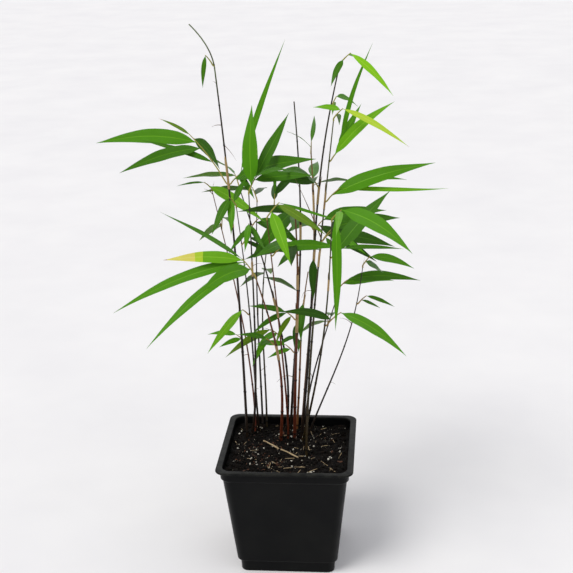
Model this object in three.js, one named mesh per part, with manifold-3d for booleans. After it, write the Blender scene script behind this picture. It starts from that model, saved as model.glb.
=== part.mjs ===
// A young bamboo in a square nursery pot: slender culms from one clump, sprays of leaves on short
// twigs, and damp potting mix in a tapered black pot.
// Millimetres, +Z up, +X to the plant's right, -Y to its front.
// The origin is the centre of the pot's underside.
import * as THREE from "three";
import { mergeVertices } from "three/addons/utils/BufferGeometryUtils.js";
import Module from "manifold-3d";

const wasm = await Module();
wasm.setup();

// ---- driving dimensions -------------------------------------------------------------------------
const POT_HEIGHT = 94;
const LIP_HALF = 52.5; // half the width across the lip
const LIP_THICK = 1.6;
const COLLAR_HALF = 49.1; // the straight band under the lip
const COLLAR_DEPTH = 8.5; // from the rim down to the collar's lower step
const BODY_TOP_HALF = 47.6;
const BODY_FOOT_HALF = 39.4;
const FOOT_HEIGHT = 10.5; // the drawn-in foot under the tapered body
const FOOT_HALF = 36.8;
const FOOT_STEP = 2.2; // how far the foot is set in from the body
const STEP_RISE = 1.2; // height of each sloping step
const WALL = 1.6;
const FLOOR = 2;
const POT_CORNER = 8; // corner radius at the lip
const CORNER_STEPS = 5;
const SIDE_STEPS = 7; // pieces that each straight side of the mix is cut into

const SOIL_TOP = 87;
const SOIL_LUMP = 1.1; // how far the mix rises and dips
const SOIL_LEVEL = [12, 20]; // level within the first distance of a culm, fully lumpy past the second
const SOIL_WAVES = [[0.31, 0.27], [0.73, 0.52]]; // radians per mm along X and Y, long waves then short
const SOIL_RINGS = [1, 0.86, 0.71, 0.56, 0.41, 0.26, 0.11]; // rings of the top, as shares of its width
const GAP = 0.3; // running gap between neighbouring pieces
const CLOSE = 1e-5; // how near two positions count as one

const CULM_SIDES = 6;
const CULM_STEPS = 10; // lengths that a culm is drawn in, and twice as many where it nods
const NOD_START = 0.9; // the share of the way up where a nodding tip starts to arch over
const TIP_SHARE = 0.4; // a culm's tip radius as a share of its foot radius

const TWIG_SIDES = 3;
const TWIG_RADIUS = 0.6;
const TWIG_TIP_RADIUS = 0.42;
const TWIG_STEPS = 3;
const TWIG_SAG = 0.04; // how far a twig bows, as a share of its length

const TWIG_RISE = 45;
const TWIG_STEM = 4; // a twig's length is this and so much for each of its leaves
const TWIG_PER_LEAF = 2.5;
const TWIG_BARE = 0.4; // the share of a twig below its first leaf
const INTERNODE = 30; // from node to node down a culm

// How a leaf stands: the rise from its base to its tip, in degrees from level.
const HABITS = { spear: 70, rising: 42, lifting: 18, level: 0, drooping: -22, falling: -45, hanging: -78 };
const SMALLEST_LEAF = 24;
const SIZE_STEP = 1.35; // each size is longer than the one before by this
const FAN_TURN = 35; // each pair of a fan is turned out and sunk by these, in degrees
const FAN_DROP = 8;
const LAST_LEAF = 0.97; // the last leaf's share of its twig
const PAIR_TAPER = 0.88; // each pair of leaves back along a twig is shorter by this share
const LEAF_THICK = 1 / 90; // thickness as a share of length
const LEAF_MIN_THICK = 0.6;
const LEAF_LEAN = 50; // degrees that a blade's upper face turns outwards from level
const LEAF_LEAN_SPREAD = 14;
// Half-width of a blade along its length, from petiole to tip: [share of length, share of half-width].
const LEAF_OUTLINE = [[0.05, 0.12], [0.16, 0.68], [0.34, 1], [0.6, 0.84], [0.84, 0.42]];
// Width and upward arch of each kind of leaf, as shares of its length.
const LEAF_KINDS = {
  broad: { width: 0.2, arch: 0.06 },
  blade: { width: 0.15, arch: 0.05 },
  narrow: { width: 0.085, arch: 0.06 },
  ribbon: { width: 0.045, arch: 0.02 },
};

// Culms come up at even steps along creeping rhizomes: where a rhizome's first culm stands, its
// heading, the step, and its culms in order.
const RHIZOMES = [
  {
    start: [-36, 24], heading: 52, step: 4.6,
    culms: ["tall_left", "front_left", "thin_left", "green_left", "slim_left", "back_lean"],
  },
  {
    start: [-6, 36], heading: 10, step: 4.8,
    culms: ["dark_lean", "spike", "stub", "broad_brown", "mid_right"],
  },
  {
    start: [-8, 18], heading: 25, step: 6,
    culms: ["brown_low", "front_thin", "brown_pair", "tall_right", "outer_right"],
  },
  { start: [10, 19], heading: 280, step: 26, culms: ["front_right", "second_right"] },
];

// Each culm reaches its height, leaning from its foot by [heading, distance]. Its bow swings it to
// the right of straight: [how far, at which share of the way up]. A nod arches its tip to the left.
const CULMS = {
  tall_left: { height: 416, lean: [150, 40], bow: [4, 0.5], nod: 15, radius: 1.0 },
  thin_left: { height: 280, lean: [125, 60], bow: [6, 0.4], radius: 0.7 },
  green_left: { height: 285, lean: [250, 25], bow: [2, 0.6], radius: 0.75 },
  slim_left: { height: 270, lean: [95, 45], bow: [-2, 0.6], radius: 0.8 },
  front_left: { height: 300, lean: [285, 35], bow: [4, 0.3], radius: 0.9 },
  back_lean: { height: 260, lean: [85, 60], bow: [-7, 0.6], radius: 0.75 },
  brown_low: { height: 245, lean: [260, 55], bow: [8, 0.5], radius: 1.1 },
  dark_lean: { height: 285, lean: [135, 50], bow: [12, 0.4], radius: 0.9 },
  front_thin: { height: 290, lean: [265, 60], bow: [2, 0.3], radius: 0.8 },
  spike: { height: 360, lean: [330, 10], bow: [6, 0.6], radius: 1.0 },
  brown_pair: { height: 290, lean: [280, 45], bow: [2, 0.7], radius: 1.2 },
  stub: { height: 230, lean: [310, 20], bow: [-2, 0.7], radius: 0.9 },
  broad_brown: { height: 310, lean: [80, 45], bow: [5, 0.6], radius: 1.15 },
  tall_right: { height: 388, lean: [350, 34], bow: [-6, 0.7], radius: 1.05 },
  front_right: { height: 295, lean: [290, 85], bow: [5, 0.5], radius: 0.85 },
  mid_right: { height: 200, lean: [50, 40], bow: [-6, 0.3], radius: 0.75 },
  outer_right: { height: 230, lean: [10, 45], bow: [6, 0.6], radius: 0.7 },
  second_right: { height: 350, lean: [40, 30], bow: [-3, 0.4], radius: 0.9 },
};

// Each spray is a twig that leaves its culm at a node, counted down from the culm's tip, or goes on
// from the tip itself. Its leaves come in fans, from the twig's base to its end, and the twig points
// the way of the last one. A fan is [hour, habit, size, kind, count]: the way that its last leaf
// points as the hour on a clock seen from above with 12 at the back, how the leaf stands, and how many
// size steps it is over the smallest. The fan's other leaves stand in turn on its left and right.
// The blades' upper faces turn towards the heading in faces, the front unless stated.
const SPRAYS = {
  hook: { culm: "tall_left", node: 1, twig: 12, fans: [[7, "hanging", 0, "blade"]] },
  upper_left: {
    culm: "tall_left", node: 4, twig: 50,
    fans: [
      [9, "lifting", 3, "narrow"], [9, "level", 4, "blade", 2], [1, "falling", 2, "broad"],
      [10, "lifting", 1, "narrow"],
    ],
  },
  tall_left_mid: {
    culm: "tall_left", node: 4,
    fans: [[4, "lifting", 4, "broad"], [5, "drooping", 1, "blade"], [3, "spear", 5, "ribbon"]],
  },
  thin_left_tip: { culm: "thin_left", fans: [[4, "drooping", 3, "blade"], [8, "level", 0, "narrow"]] },
  thin_left_back: { culm: "thin_left", node: 1, faces: 90, fans: [[12, "drooping", 3, "blade", 2]] },
  low_left: { culm: "thin_left", node: 4, fans: [[9, "level", 0, "broad", 2]] },
  inner_left: { culm: "green_left", fans: [[1, "rising", 0, "broad"], [7, "falling", 1, "broad", 2]] },
  left_low: { culm: "green_left", node: 3, fans: [[8, "falling", 2, "blade"]] },
  slim_back: { culm: "slim_left", faces: 90, fans: [[11, "level", 3, "blade", 3]] },
  slim_low: { culm: "slim_left", node: 3, faces: 90, fans: [[12, "drooping", 2, "narrow"]] },
  spears: {
    culm: "front_left",
    fans: [[12, "spear", 3, "broad"], [5, "lifting", 3, "blade", 2], [1, "rising", 3, "blade"]],
  },
  pale_tip: { culm: "back_lean", fans: [[1, "lifting", 2, "blade", 2], [12, "spear", 1, "narrow"]] },
  back_low: { culm: "back_lean", node: 2, faces: 90, fans: [[12, "drooping", 3, "blade", 3]] },
  left_mid: {
    culm: "brown_low",
    fans: [
      [7, "level", 3, "broad"], [9, "drooping", 5, "narrow", 2], [9, "level", 3, "blade"],
      [10, "lifting", 4, "ribbon"],
    ],
  },
  dark_back: { culm: "dark_lean", faces: 90, fans: [[11, "level", 3, "blade", 3]] },
  low_front: { culm: "dark_lean", node: 4, fans: [[7, "level", 0, "broad"], [8, "drooping", 2, "blade", 2]] },
  front_fan: {
    culm: "front_thin",
    fans: [[5, "falling", 2, "broad"], [4, "drooping", 2, "blade", 2], [2, "drooping", 3, "ribbon"]],
  },
  spike_mass: {
    culm: "spike", node: 3,
    fans: [[6, "level", 2, "broad"], [9, "level", 2, "blade"], [7, "drooping", 3, "broad"]],
  },
  low_hang: { culm: "spike", node: 6, fans: [[6, "falling", 0, "broad"]] },
  low_centre: {
    culm: "brown_pair", node: 3,
    fans: [[8, "drooping", 1, "blade", 2], [8, "lifting", 1, "blade"]],
  },
  stub_side: { culm: "stub", node: 1, fans: [[6, "falling", 1, "broad"]] },
  brown_side: { culm: "broad_brown", node: 2, fans: [[11, "level", 2, "blade"], [7, "level", 1, "broad"]] },
  brown_mass: {
    culm: "broad_brown", node: 2,
    fans: [[4, "drooping", 3, "blade"], [2, "level", 3, "broad"]],
  },
  broad_back: { culm: "broad_brown", node: 1, faces: 90, fans: [[12, "level", 3, "blade", 3]] },
  broad_top: { culm: "broad_brown", faces: 90, fans: [[12, "lifting", 2, "narrow", 2]] },
  tall_right_tip: {
    culm: "tall_right",
    fans: [[7, "falling", 0, "broad"], [1, "drooping", 1, "blade"], [3, "falling", 2, "blade"]],
  },
  tall_right_neck: { culm: "tall_right", node: 1, fans: [[1, "drooping", 1, "blade", 2]] },
  hanging: { culm: "tall_right", node: 5, fans: [[6, "hanging", 1, "broad"]] },
  front_right_top: {
    culm: "front_right",
    fans: [[6, "hanging", 4, "narrow"], [6, "level", 3, "narrow"], [4, "drooping", 3, "broad"]],
  },
  front_right_mid: {
    culm: "front_right", node: 1,
    fans: [[2, "rising", 3, "broad"], [3, "level", 2, "narrow"]],
  },
  low_right: {
    culm: "front_right", node: 3, twig: 18,
    fans: [[8, "lifting", 2, "blade"], [4, "drooping", 3, "blade"]],
  },
  mid_right_tip: { culm: "mid_right", fans: [[3, "level", 3, "blade", 2]] },
  mid_back: { culm: "mid_right", node: 1, faces: 90, fans: [[12, "drooping", 3, "blade", 2]] },
  outer_right_tip: { culm: "outer_right", fans: [[2, "drooping", 2, "blade", 2]] },
  second_right_tip: {
    culm: "second_right",
    fans: [[12, "drooping", 2, "narrow"], [10, "level", 0, "broad"], [4, "drooping", 3, "narrow"]],
  },
  uprights: {
    culm: "second_right", node: 1,
    fans: [[3, "rising", 3, "blade"], [1, "rising", 2, "blade"], [2, "spear", 4, "ribbon"]],
  },
  right_mass: { culm: "second_right", node: 3, fans: [[2, "level", 3, "broad", 3]] },
  long_right: {
    culm: "second_right", node: 2,
    fans: [[3, "lifting", 4, "blade"], [2, "level", 3, "narrow", 2], [3, "level", 4, "ribbon"]],
  },
};

// ---- closed skins -------------------------------------------------------------------------------
// A closed skin over a stack of rings of equal count, each ring counter-clockwise seen from the last
// ring's side, with a point in the middle of each end.
function skin(rings, start, end) {
  const count = rings[0].length;
  const points = [start, ...rings.flat(), end];
  const last = points.length - 1;
  const at = (ring, i) => 1 + ring * count + (i % count);
  const faces = [];
  for (let i = 0; i < count; i++) {
    faces.push(0, at(0, i + 1), at(0, i));
    faces.push(last, at(rings.length - 1, i), at(rings.length - 1, i + 1));
    for (let ring = 0; ring < rings.length - 1; ring++) {
      faces.push(at(ring, i), at(ring, i + 1), at(ring + 1, i + 1));
      faces.push(at(ring, i), at(ring + 1, i + 1), at(ring + 1, i));
    }
  }
  const geometry = new THREE.BufferGeometry();
  const positions = points.flatMap((p) => [p.x, p.y, p.z]);
  geometry.setAttribute("position", new THREE.Float32BufferAttribute(positions, 3));
  geometry.setIndex(faces);
  return geometry;
}

// A ring of points round a centre: across and over are the two half-axes of its section.
function ringRound(centre, across, over, sides) {
  return Array.from({ length: sides }, (_, side) => {
    const turn = side / sides * 2 * Math.PI;
    return centre.clone().addScaledVector(across, Math.cos(turn)).addScaledVector(over, Math.sin(turn));
  });
}

function solid(geometry) {
  const merged = mergeVertices(geometry, CLOSE);
  return new wasm.Manifold(new wasm.Mesh({
    numProp: 3,
    vertProperties: new Float32Array(merged.attributes.position.array),
    triVerts: new Uint32Array(merged.index.array),
  }));
}

function fromSolid(body) {
  const mesh = body.getMesh();
  const geometry = new THREE.BufferGeometry();
  geometry.setAttribute("position", new THREE.Float32BufferAttribute(mesh.vertProperties, 3));
  geometry.setIndex([...mesh.triVerts]);
  return geometry;
}

// Numbers from 0 to 1 that a name always gives in the same order: a linear congruential sequence.
function seeded(name) {
  const [multiplier, increment, modulus] = [9301, 49297, 233280];
  let state = [...name].reduce((sum, letter) => (sum * multiplier + letter.charCodeAt(0)) % modulus, 0);
  return () => {
    state = (state * multiplier + increment) % modulus;
    return state / modulus;
  };
}

const radians = THREE.MathUtils.degToRad;
const UP = new THREE.Vector3(0, 0, 1);

function direction(heading, rise) {
  const flat = Math.cos(radians(rise));
  const turn = radians(heading);
  return new THREE.Vector3(flat * Math.cos(turn), flat * Math.sin(turn), Math.sin(radians(rise)));
}

// ---- pot and mix --------------------------------------------------------------------------------
// A square with round corners, centred on the pot's axis, at height z, with each side in pieces.
function roundedSquare(half, z, sidePieces = 1) {
  const corner = POT_CORNER * half / LIP_HALF;
  const quarter = [];
  for (let step = 0; step <= CORNER_STEPS; step++) {
    const turn = step / CORNER_STEPS * Math.PI / 2;
    const flat = half - corner;
    quarter.push(new THREE.Vector3(flat + corner * Math.cos(turn), flat + corner * Math.sin(turn), z));
  }
  for (let piece = 1; piece < sidePieces; piece++) {
    const x = THREE.MathUtils.lerp(half - corner, corner - half, piece / sidePieces);
    quarter.push(new THREE.Vector3(x, half, z));
  }
  const turned = (turns) => quarter.map((point) => point.clone().applyAxisAngle(UP, turns * Math.PI / 2));
  return [0, 1, 2, 3].flatMap(turned);
}

const COLLAR_FOOT = POT_HEIGHT - COLLAR_DEPTH;

// Half the body's outside width at the foot, the body and the collar: [half width, height].
const WALL_LEVELS = [
  [FOOT_HALF, 0],
  [BODY_FOOT_HALF - FOOT_STEP, FOOT_HEIGHT - STEP_RISE],
  [BODY_FOOT_HALF, FOOT_HEIGHT],
  [BODY_TOP_HALF, COLLAR_FOOT - STEP_RISE],
  [COLLAR_HALF, COLLAR_FOOT],
];

// The same levels set in by a distance, with the lowest raised to a floor.
const insideLevels = (inset, floor) => WALL_LEVELS.map(([half, z]) => [half - inset, Math.max(z, floor)]);

function pot() {
  const lip = [
    [COLLAR_HALF, POT_HEIGHT - LIP_THICK],
    [LIP_HALF, POT_HEIGHT - LIP_THICK],
    [LIP_HALF, POT_HEIGHT],
    [COLLAR_HALF - WALL, POT_HEIGHT],
  ];
  const levels = [...WALL_LEVELS, ...lip, ...insideLevels(WALL, FLOOR).reverse()];
  const rings = levels.map(([half, z]) => roundedSquare(half, z));
  return skin(rings, new THREE.Vector3(), new THREE.Vector3(0, 0, FLOOR));
}

// Every culm's foot on the mix: one even step after another along its rhizome.
const FEET = {};
for (const { start, heading, step, culms } of RHIZOMES) {
  culms.forEach((name, index) => {
    FEET[name] = new THREE.Vector3(...start, 0).addScaledVector(direction(heading, 0), step * index);
  });
}

// The mix's top: low rolling lumps, level round every culm's foot.
function soilHeight(x, y) {
  const feet = Object.values(FEET).map((foot) => Math.hypot(x - foot.x, y - foot.y));
  const free = THREE.MathUtils.smoothstep(Math.min(...feet), ...SOIL_LEVEL);
  const [[longX, longY], [shortX, shortY]] = SOIL_WAVES;
  const lump = 2 * Math.cos(x * longX) * Math.cos(y * longY) + Math.sin(x * shortX - y * shortY);
  return SOIL_TOP + SOIL_LUMP * free * lump / 3;
}

// The mix fills the pot to just above the collar's step: its sides follow the wall, its top rolls.
function soil() {
  const levels = insideLevels(WALL + GAP, FLOOR + GAP);
  const rings = levels.map(([half, z]) => roundedSquare(half, z, SIDE_STEPS));
  const edge = levels.at(-1)[0];
  for (const share of SOIL_RINGS) {
    const ring = roundedSquare(edge * share, 0, SIDE_STEPS);
    rings.push(ring.map((p) => p.setZ(soilHeight(p.x, p.y))));
  }
  return skin(rings, new THREE.Vector3(0, 0, FLOOR + GAP), new THREE.Vector3(0, 0, soilHeight(0, 0)));
}

// ---- culms --------------------------------------------------------------------------------------
// A point on a culm's centre line: the straight line from its foot to its tip, swung aside by its
// bow as a sine that is skewed to its place, and arched over at its tip by a parabola.
function culmPoint(name, share) {
  const { height, lean: [heading, distance], bow: [swing, place], nod = 0 } = CULMS[name];
  const low = FEET[name].clone().setZ(SOIL_TOP + GAP);
  const high = FEET[name].clone().setZ(height).addScaledVector(direction(heading, 0), distance);
  const skewed = share ** (Math.log(0.5) / Math.log(place));
  const over = (Math.max(share - NOD_START, 0) / (1 - NOD_START)) ** 2;
  const aside = swing * Math.sin(Math.PI * skewed) + nod * (share - over);
  return low.lerp(high, share).add(new THREE.Vector3(aside, 0, 0));
}

// Its radius narrows evenly from foot to tip.
const culmRadius = (name, share) => CULMS[name].radius * THREE.MathUtils.lerp(1, TIP_SHARE, share);

// Rings lie level, so that the foot is cut flat at the mix.
function culm(name) {
  const rings = [];
  const steps = CULMS[name].nod ? 2 * CULM_STEPS : CULM_STEPS;
  for (let step = 0; step <= steps; step++) {
    const share = step / steps;
    const radius = culmRadius(name, share);
    const [across, over] = [new THREE.Vector3(radius, 0, 0), new THREE.Vector3(0, radius, 0)];
    rings.push(ringRound(culmPoint(name, share), across, over, CULM_SIDES));
  }
  return skin(rings, culmPoint(name, 0), culmPoint(name, 1));
}

// ---- twigs and leaves ---------------------------------------------------------------------------
// A line of a given run that bows upwards by a share of its length: a parabola from base to end.
function arched(base, run, arch) {
  const along = run.clone().normalize();
  const lift = UP.clone().addScaledVector(along, -UP.dot(along));
  lift.normalize().multiplyScalar(4 * arch * run.length());
  return (share) => base.clone().addScaledVector(run, share).addScaledVector(lift, share * (1 - share));
}

function twig(line, run) {
  const across = new THREE.Vector3(-run.y, run.x, 0).normalize();
  const over = run.clone().normalize().cross(across);
  const rings = [];
  for (let step = 0; step <= TWIG_STEPS; step++) {
    const share = step / TWIG_STEPS;
    const radius = THREE.MathUtils.lerp(TWIG_RADIUS, TWIG_TIP_RADIUS, share);
    const [wide, tall] = [across, over].map((axis) => axis.clone().multiplyScalar(radius));
    rings.push(ringRound(line(share), wide, tall, TWIG_SIDES));
  }
  return skin(rings, line(0), line(1));
}

// A blade with a lens-like section of four corners, pointed at both ends. Its upper face leans from
// level towards the heading that its spray faces.
function leaf(base, { heading, rise, length, kind }, faces, lean) {
  const run = direction(heading, rise).multiplyScalar(length);
  const line = arched(base, run, LEAF_KINDS[kind].arch);
  const along = run.clone().normalize();
  const face = direction(faces, 90 - lean);
  const over = face.addScaledVector(along, -face.dot(along)).normalize();
  const across = over.clone().cross(along);
  const thick = Math.max(LEAF_MIN_THICK, length * LEAF_THICK) / 2;
  const wide = LEAF_KINDS[kind].width * length / 2;
  const rings = LEAF_OUTLINE.map(([share, width]) => ringRound(
    line(share),
    across.clone().multiplyScalar(wide * width),
    over.clone().multiplyScalar(thick),
    4,
  ));
  return skin(rings, line(0), line(1));
}

// The heading of an hour on the clock.
const clock = (hour) => 90 - 30 * hour;

// A fan's leaves, from the pair furthest back on the twig to its last leaf.
function fanned([hour, habit, size, kind, count = 1]) {
  return Array.from({ length: count }, (_, index) => {
    const back = count - 1 - index;
    const pair = Math.ceil(back / 2);
    const side = back % 2 ? 1 : -1;
    return {
      heading: clock(hour) + side * pair * FAN_TURN,
      rise: HABITS[habit] - pair * FAN_DROP,
      length: SMALLEST_LEAF * SIZE_STEP ** size * PAIR_TAPER ** pair,
      kind,
    };
  });
}


// The culm's centre and radius at a height, found by halving.
function culmAt(name, z) {
  let [low, high] = [0, 1];
  while (high - low > CLOSE) {
    const middle = (low + high) / 2;
    if (culmPoint(name, middle).z < z) low = middle;
    else high = middle;
  }
  return { centre: culmPoint(name, low), radius: culmRadius(name, low) };
}

// Where a twig starts: just off the culm's side at a node, or just past its tip where there is none.
function twigBase(host, node, heading) {
  if (node === 0) {
    const tilt = TWIG_RADIUS * Math.cos(radians(TWIG_RISE)); // how far the slanting end reaches down
    return culmPoint(host, 1).addScaledVector(UP, GAP + tilt);
  }
  const { centre, radius } = culmAt(host, CULMS[host].height - node * INTERNODE);
  return centre.addScaledVector(direction(heading, 0), radius + GAP + TWIG_RADIUS);
}

const clearOf = (body, neighbours) => neighbours.every((other) => body.minGap(other, 2 * GAP) >= GAP);

// One spray: its twig and its leaves in one body. A leaf that would touch a neighbour is left out.
function spray(name, row, neighbours) {
  const { culm: host, node = 0, faces = 270, fans } = row;
  const leaves = fans.flatMap(fanned);
  const heading = clock(fans.at(-1)[0]);
  const length = row.twig ?? TWIG_STEM + TWIG_PER_LEAF * leaves.length;
  const run = direction(heading, TWIG_RISE).multiplyScalar(length);
  const line = arched(twigBase(host, node, heading), run, TWIG_SAG);
  const random = seeded(name);
  let body = solid(twig(line, run));
  leaves.forEach((entry, index) => {
    const crowded = Math.sqrt(index / Math.max(leaves.length - 1, 1));
    const share = THREE.MathUtils.lerp(leaves.length > 1 ? TWIG_BARE : 1, 1, crowded) * LAST_LEAF;
    const lean = LEAF_LEAN + LEAF_LEAN_SPREAD * (2 * random() - 1);
    const base = line(share);
    const blade = solid(leaf(base, entry, faces, lean));
    if (clearOf(blade, neighbours)) body = body.add(blade);
  });
  return body;
}

// ---- the assembly -------------------------------------------------------------------------------
const FINISHES = {
  pot: { color: 0x0c0e10, roughness: 0.45 },
  soil: { color: 0x14100c, roughness: 1 },
  culm: { color: 0x5a3320, roughness: 0.5 },
  leaf: { color: 0x4a8a1c, roughness: 0.45 },
};
const materials = {};
for (const [name, finish] of Object.entries(FINISHES)) {
  materials[name] = new THREE.MeshStandardMaterial({ ...finish, metalness: 0 });
}

const plant = new THREE.Group();

function place(name, geometry, finish) {
  const mesh = new THREE.Mesh(geometry, materials[finish]);
  mesh.name = name;
  plant.add(mesh);
}

place("pot", pot(), "pot");
place("soil", soil(), "soil");
const solids = [];
for (const name of Object.keys(CULMS)) {
  const geometry = culm(name);
  place(`culm_${name}`, geometry, "culm");
  solids.push(solid(geometry));
}
for (const [name, row] of Object.entries(SPRAYS)) {
  const body = spray(name, row, solids);
  place(`spray_${name}`, fromSolid(body), "leaf");
  solids.push(body);
}

export default plant;
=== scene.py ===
"""A young bamboo in a square nursery pot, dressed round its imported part.

Sizes and places are millimetres until a mesh is made. +Z is up, +X is the plant's right, -Y its front,
and the origin is the centre of the pot's underside. Headings turn from +X towards +Y and rises are
measured from level, both in degrees.
"""

import sys
import logging
import math
from collections.abc import Callable, Iterator, Sequence
from dataclasses import dataclass, field
from enum import Enum

import bpy
import numpy as np
from mathutils import Matrix, Vector


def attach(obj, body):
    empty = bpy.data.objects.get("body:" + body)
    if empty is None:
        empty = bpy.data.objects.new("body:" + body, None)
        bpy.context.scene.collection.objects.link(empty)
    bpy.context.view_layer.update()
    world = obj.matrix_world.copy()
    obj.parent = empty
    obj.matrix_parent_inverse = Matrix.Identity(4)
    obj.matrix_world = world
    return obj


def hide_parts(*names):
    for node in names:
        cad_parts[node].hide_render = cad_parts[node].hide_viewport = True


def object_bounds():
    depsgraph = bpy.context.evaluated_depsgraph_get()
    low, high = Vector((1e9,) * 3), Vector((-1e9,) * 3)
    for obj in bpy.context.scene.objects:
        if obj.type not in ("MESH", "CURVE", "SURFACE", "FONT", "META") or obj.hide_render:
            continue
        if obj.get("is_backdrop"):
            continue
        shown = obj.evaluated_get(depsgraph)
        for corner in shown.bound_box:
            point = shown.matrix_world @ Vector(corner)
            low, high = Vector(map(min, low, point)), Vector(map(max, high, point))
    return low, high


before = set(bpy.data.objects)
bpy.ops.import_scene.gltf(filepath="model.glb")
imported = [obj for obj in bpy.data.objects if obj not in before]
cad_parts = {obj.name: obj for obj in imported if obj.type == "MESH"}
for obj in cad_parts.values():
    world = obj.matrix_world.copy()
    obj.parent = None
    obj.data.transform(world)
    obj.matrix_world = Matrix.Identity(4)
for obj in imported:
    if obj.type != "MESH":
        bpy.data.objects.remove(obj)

CAD_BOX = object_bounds()
MM = 0.001  # metres in a millimetre
BODY = "root"
SURFACE = "surface"  # the attribute that says where a point lies on its piece's surface
TINY = 1e-9

UP = np.array([0.0, 0.0, 1.0])
TO_BACK = np.array([0.0, 1.0, 0.0])

Colour = tuple[float, float, float]
Line = Callable[[np.ndarray], np.ndarray]

log = logging.getLogger("potted_bamboo")


# ---- numbers ------------------------------------------------------------------------------------
def paint(red: int, green: int, blue: int) -> Colour:
    """A colour given in 0 to 255, as the linear light that a shader takes.

    Args:
        red: The share of red, 0 to 255.
        green: The share of green, 0 to 255.
        blue: The share of blue, 0 to 255.

    Returns:
        The three linear values.
    """
    shares = np.array([red, green, blue]) / 255
    linear = np.where(shares <= 0.04045, shares / 12.92, ((shares + 0.055) / 1.055) ** 2.4)
    return tuple(float(value) for value in linear)


def direction(heading: float, rise: float) -> np.ndarray:
    """The unit vector at a heading and a rise in degrees."""
    turn, lift = math.radians(heading), math.radians(rise)
    return np.array([math.cos(lift) * math.cos(turn), math.cos(lift) * math.sin(turn), math.sin(lift)])


def unit(vectors: np.ndarray) -> np.ndarray:
    """Vectors brought to a length of one."""
    return vectors / np.maximum(np.linalg.norm(vectors, axis=-1, keepdims=True), TINY)


def seeded(name: str) -> Iterator[float]:
    """Numbers from 0 to 1 that a name always gives in the same order: a linear congruential sequence.

    Args:
        name: The name that the sequence starts from.

    Yields:
        The next number.
    """
    multiplier, increment, modulus = 9301, 49297, 233280
    state = 0
    for letter in name:
        state = (state * multiplier + ord(letter)) % modulus
    while True:
        state = (state * multiplier + increment) % modulus
        yield state / modulus


def generator(name: str) -> np.random.Generator:
    """An array generator that a name always starts at the same place."""
    return np.random.default_rng([ord(letter) for letter in name])


def eased(at: np.ndarray, knots: Sequence[tuple[float, float]]) -> np.ndarray:
    """A smooth curve through knots that never overshoots them.

    Between two knots it is a cubic. Its slope at a knot is the harmonic mean of the slopes of the two
    chords there, or level where they turn.

    Args:
        at: Where the curve is read.
        knots: Pairs of position and value, in order.

    Returns:
        The curve's value at each position.
    """
    place, value = np.array(knots, float).T
    chord = np.diff(value) / np.diff(place)
    both = chord[:-1] * chord[1:]
    total = chord[:-1] + chord[1:]
    mean = np.where(both > 0, 2 * both / np.where(np.abs(total) < TINY, 1, total), 0)
    slope = np.concatenate([chord[:1], mean, chord[-1:]])
    piece = np.clip(np.searchsorted(place, at, side="right") - 1, 0, len(place) - 2)
    width = place[piece + 1] - place[piece]
    t = (at - place[piece]) / width
    start = (1 + 2 * t) * (1 - t) ** 2 * value[piece] + t * (1 - t) ** 2 * width * slope[piece]
    end = t * t * (3 - 2 * t) * value[piece + 1] - t * t * (1 - t) * width * slope[piece + 1]
    return start + end


def through(points: np.ndarray, shares: np.ndarray) -> np.ndarray:
    """A centripetal Catmull-Rom curve through points.

    Each stretch is a cubic whose end slopes are worked out on a clock that runs with the square root of
    the distance between points. The line's ends are reflected to give the first and last slopes.

    Args:
        points: The points that it passes, one row each.
        shares: How far along, 0 to 1, with every stretch an equal share.

    Returns:
        One row for each share.
    """
    padded = np.vstack([2 * points[0] - points[1], points, 2 * points[-1] - points[-2]])
    ticks = np.maximum(np.sqrt(np.linalg.norm(np.diff(padded, axis=0), axis=1)), TINY)[:, None]
    step = np.asarray(shares) * (len(points) - 1)
    piece = np.clip(np.floor(step).astype(int), 0, len(points) - 2)
    t = (step - piece)[:, None]
    a, b, c, d = (padded[piece + offset] for offset in range(4))
    before, here, after = (ticks[piece + offset] for offset in range(3))
    leave = ((b - a) / before - (c - a) / (before + here) + (c - b) / here) * here
    reach = ((c - b) / here - (d - b) / (here + after) + (d - c) / after) * here
    return b + leave * t + (3 * (c - b) - 2 * leave - reach) * t**2 + (2 * (b - c) + leave + reach) * t**3


def grain(x: np.ndarray, y: np.ndarray, size: float, seed: int) -> np.ndarray:
    """Smooth random lumps: a random height at each crossing of a square net, blended between crossings.

    Args:
        x: Places across.
        y: Places deep.
        size: The net's spacing.
        seed: Which net of heights.

    Returns:
        A height from -1 to 1 at each place.
    """
    table = np.random.default_rng(seed).uniform(-1, 1, (97, 97))
    across, deep = x / size, y / size
    col, row = np.floor(across).astype(int), np.floor(deep).astype(int)
    u, v = across - col, deep - row
    u, v = u * u * (3 - 2 * u), v * v * (3 - 2 * v)
    low = table[row % 97, col % 97] * (1 - u) + table[row % 97, (col + 1) % 97] * u
    high = table[(row + 1) % 97, col % 97] * (1 - u) + table[(row + 1) % 97, (col + 1) % 97] * u
    return low * (1 - v) + high * v


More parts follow.
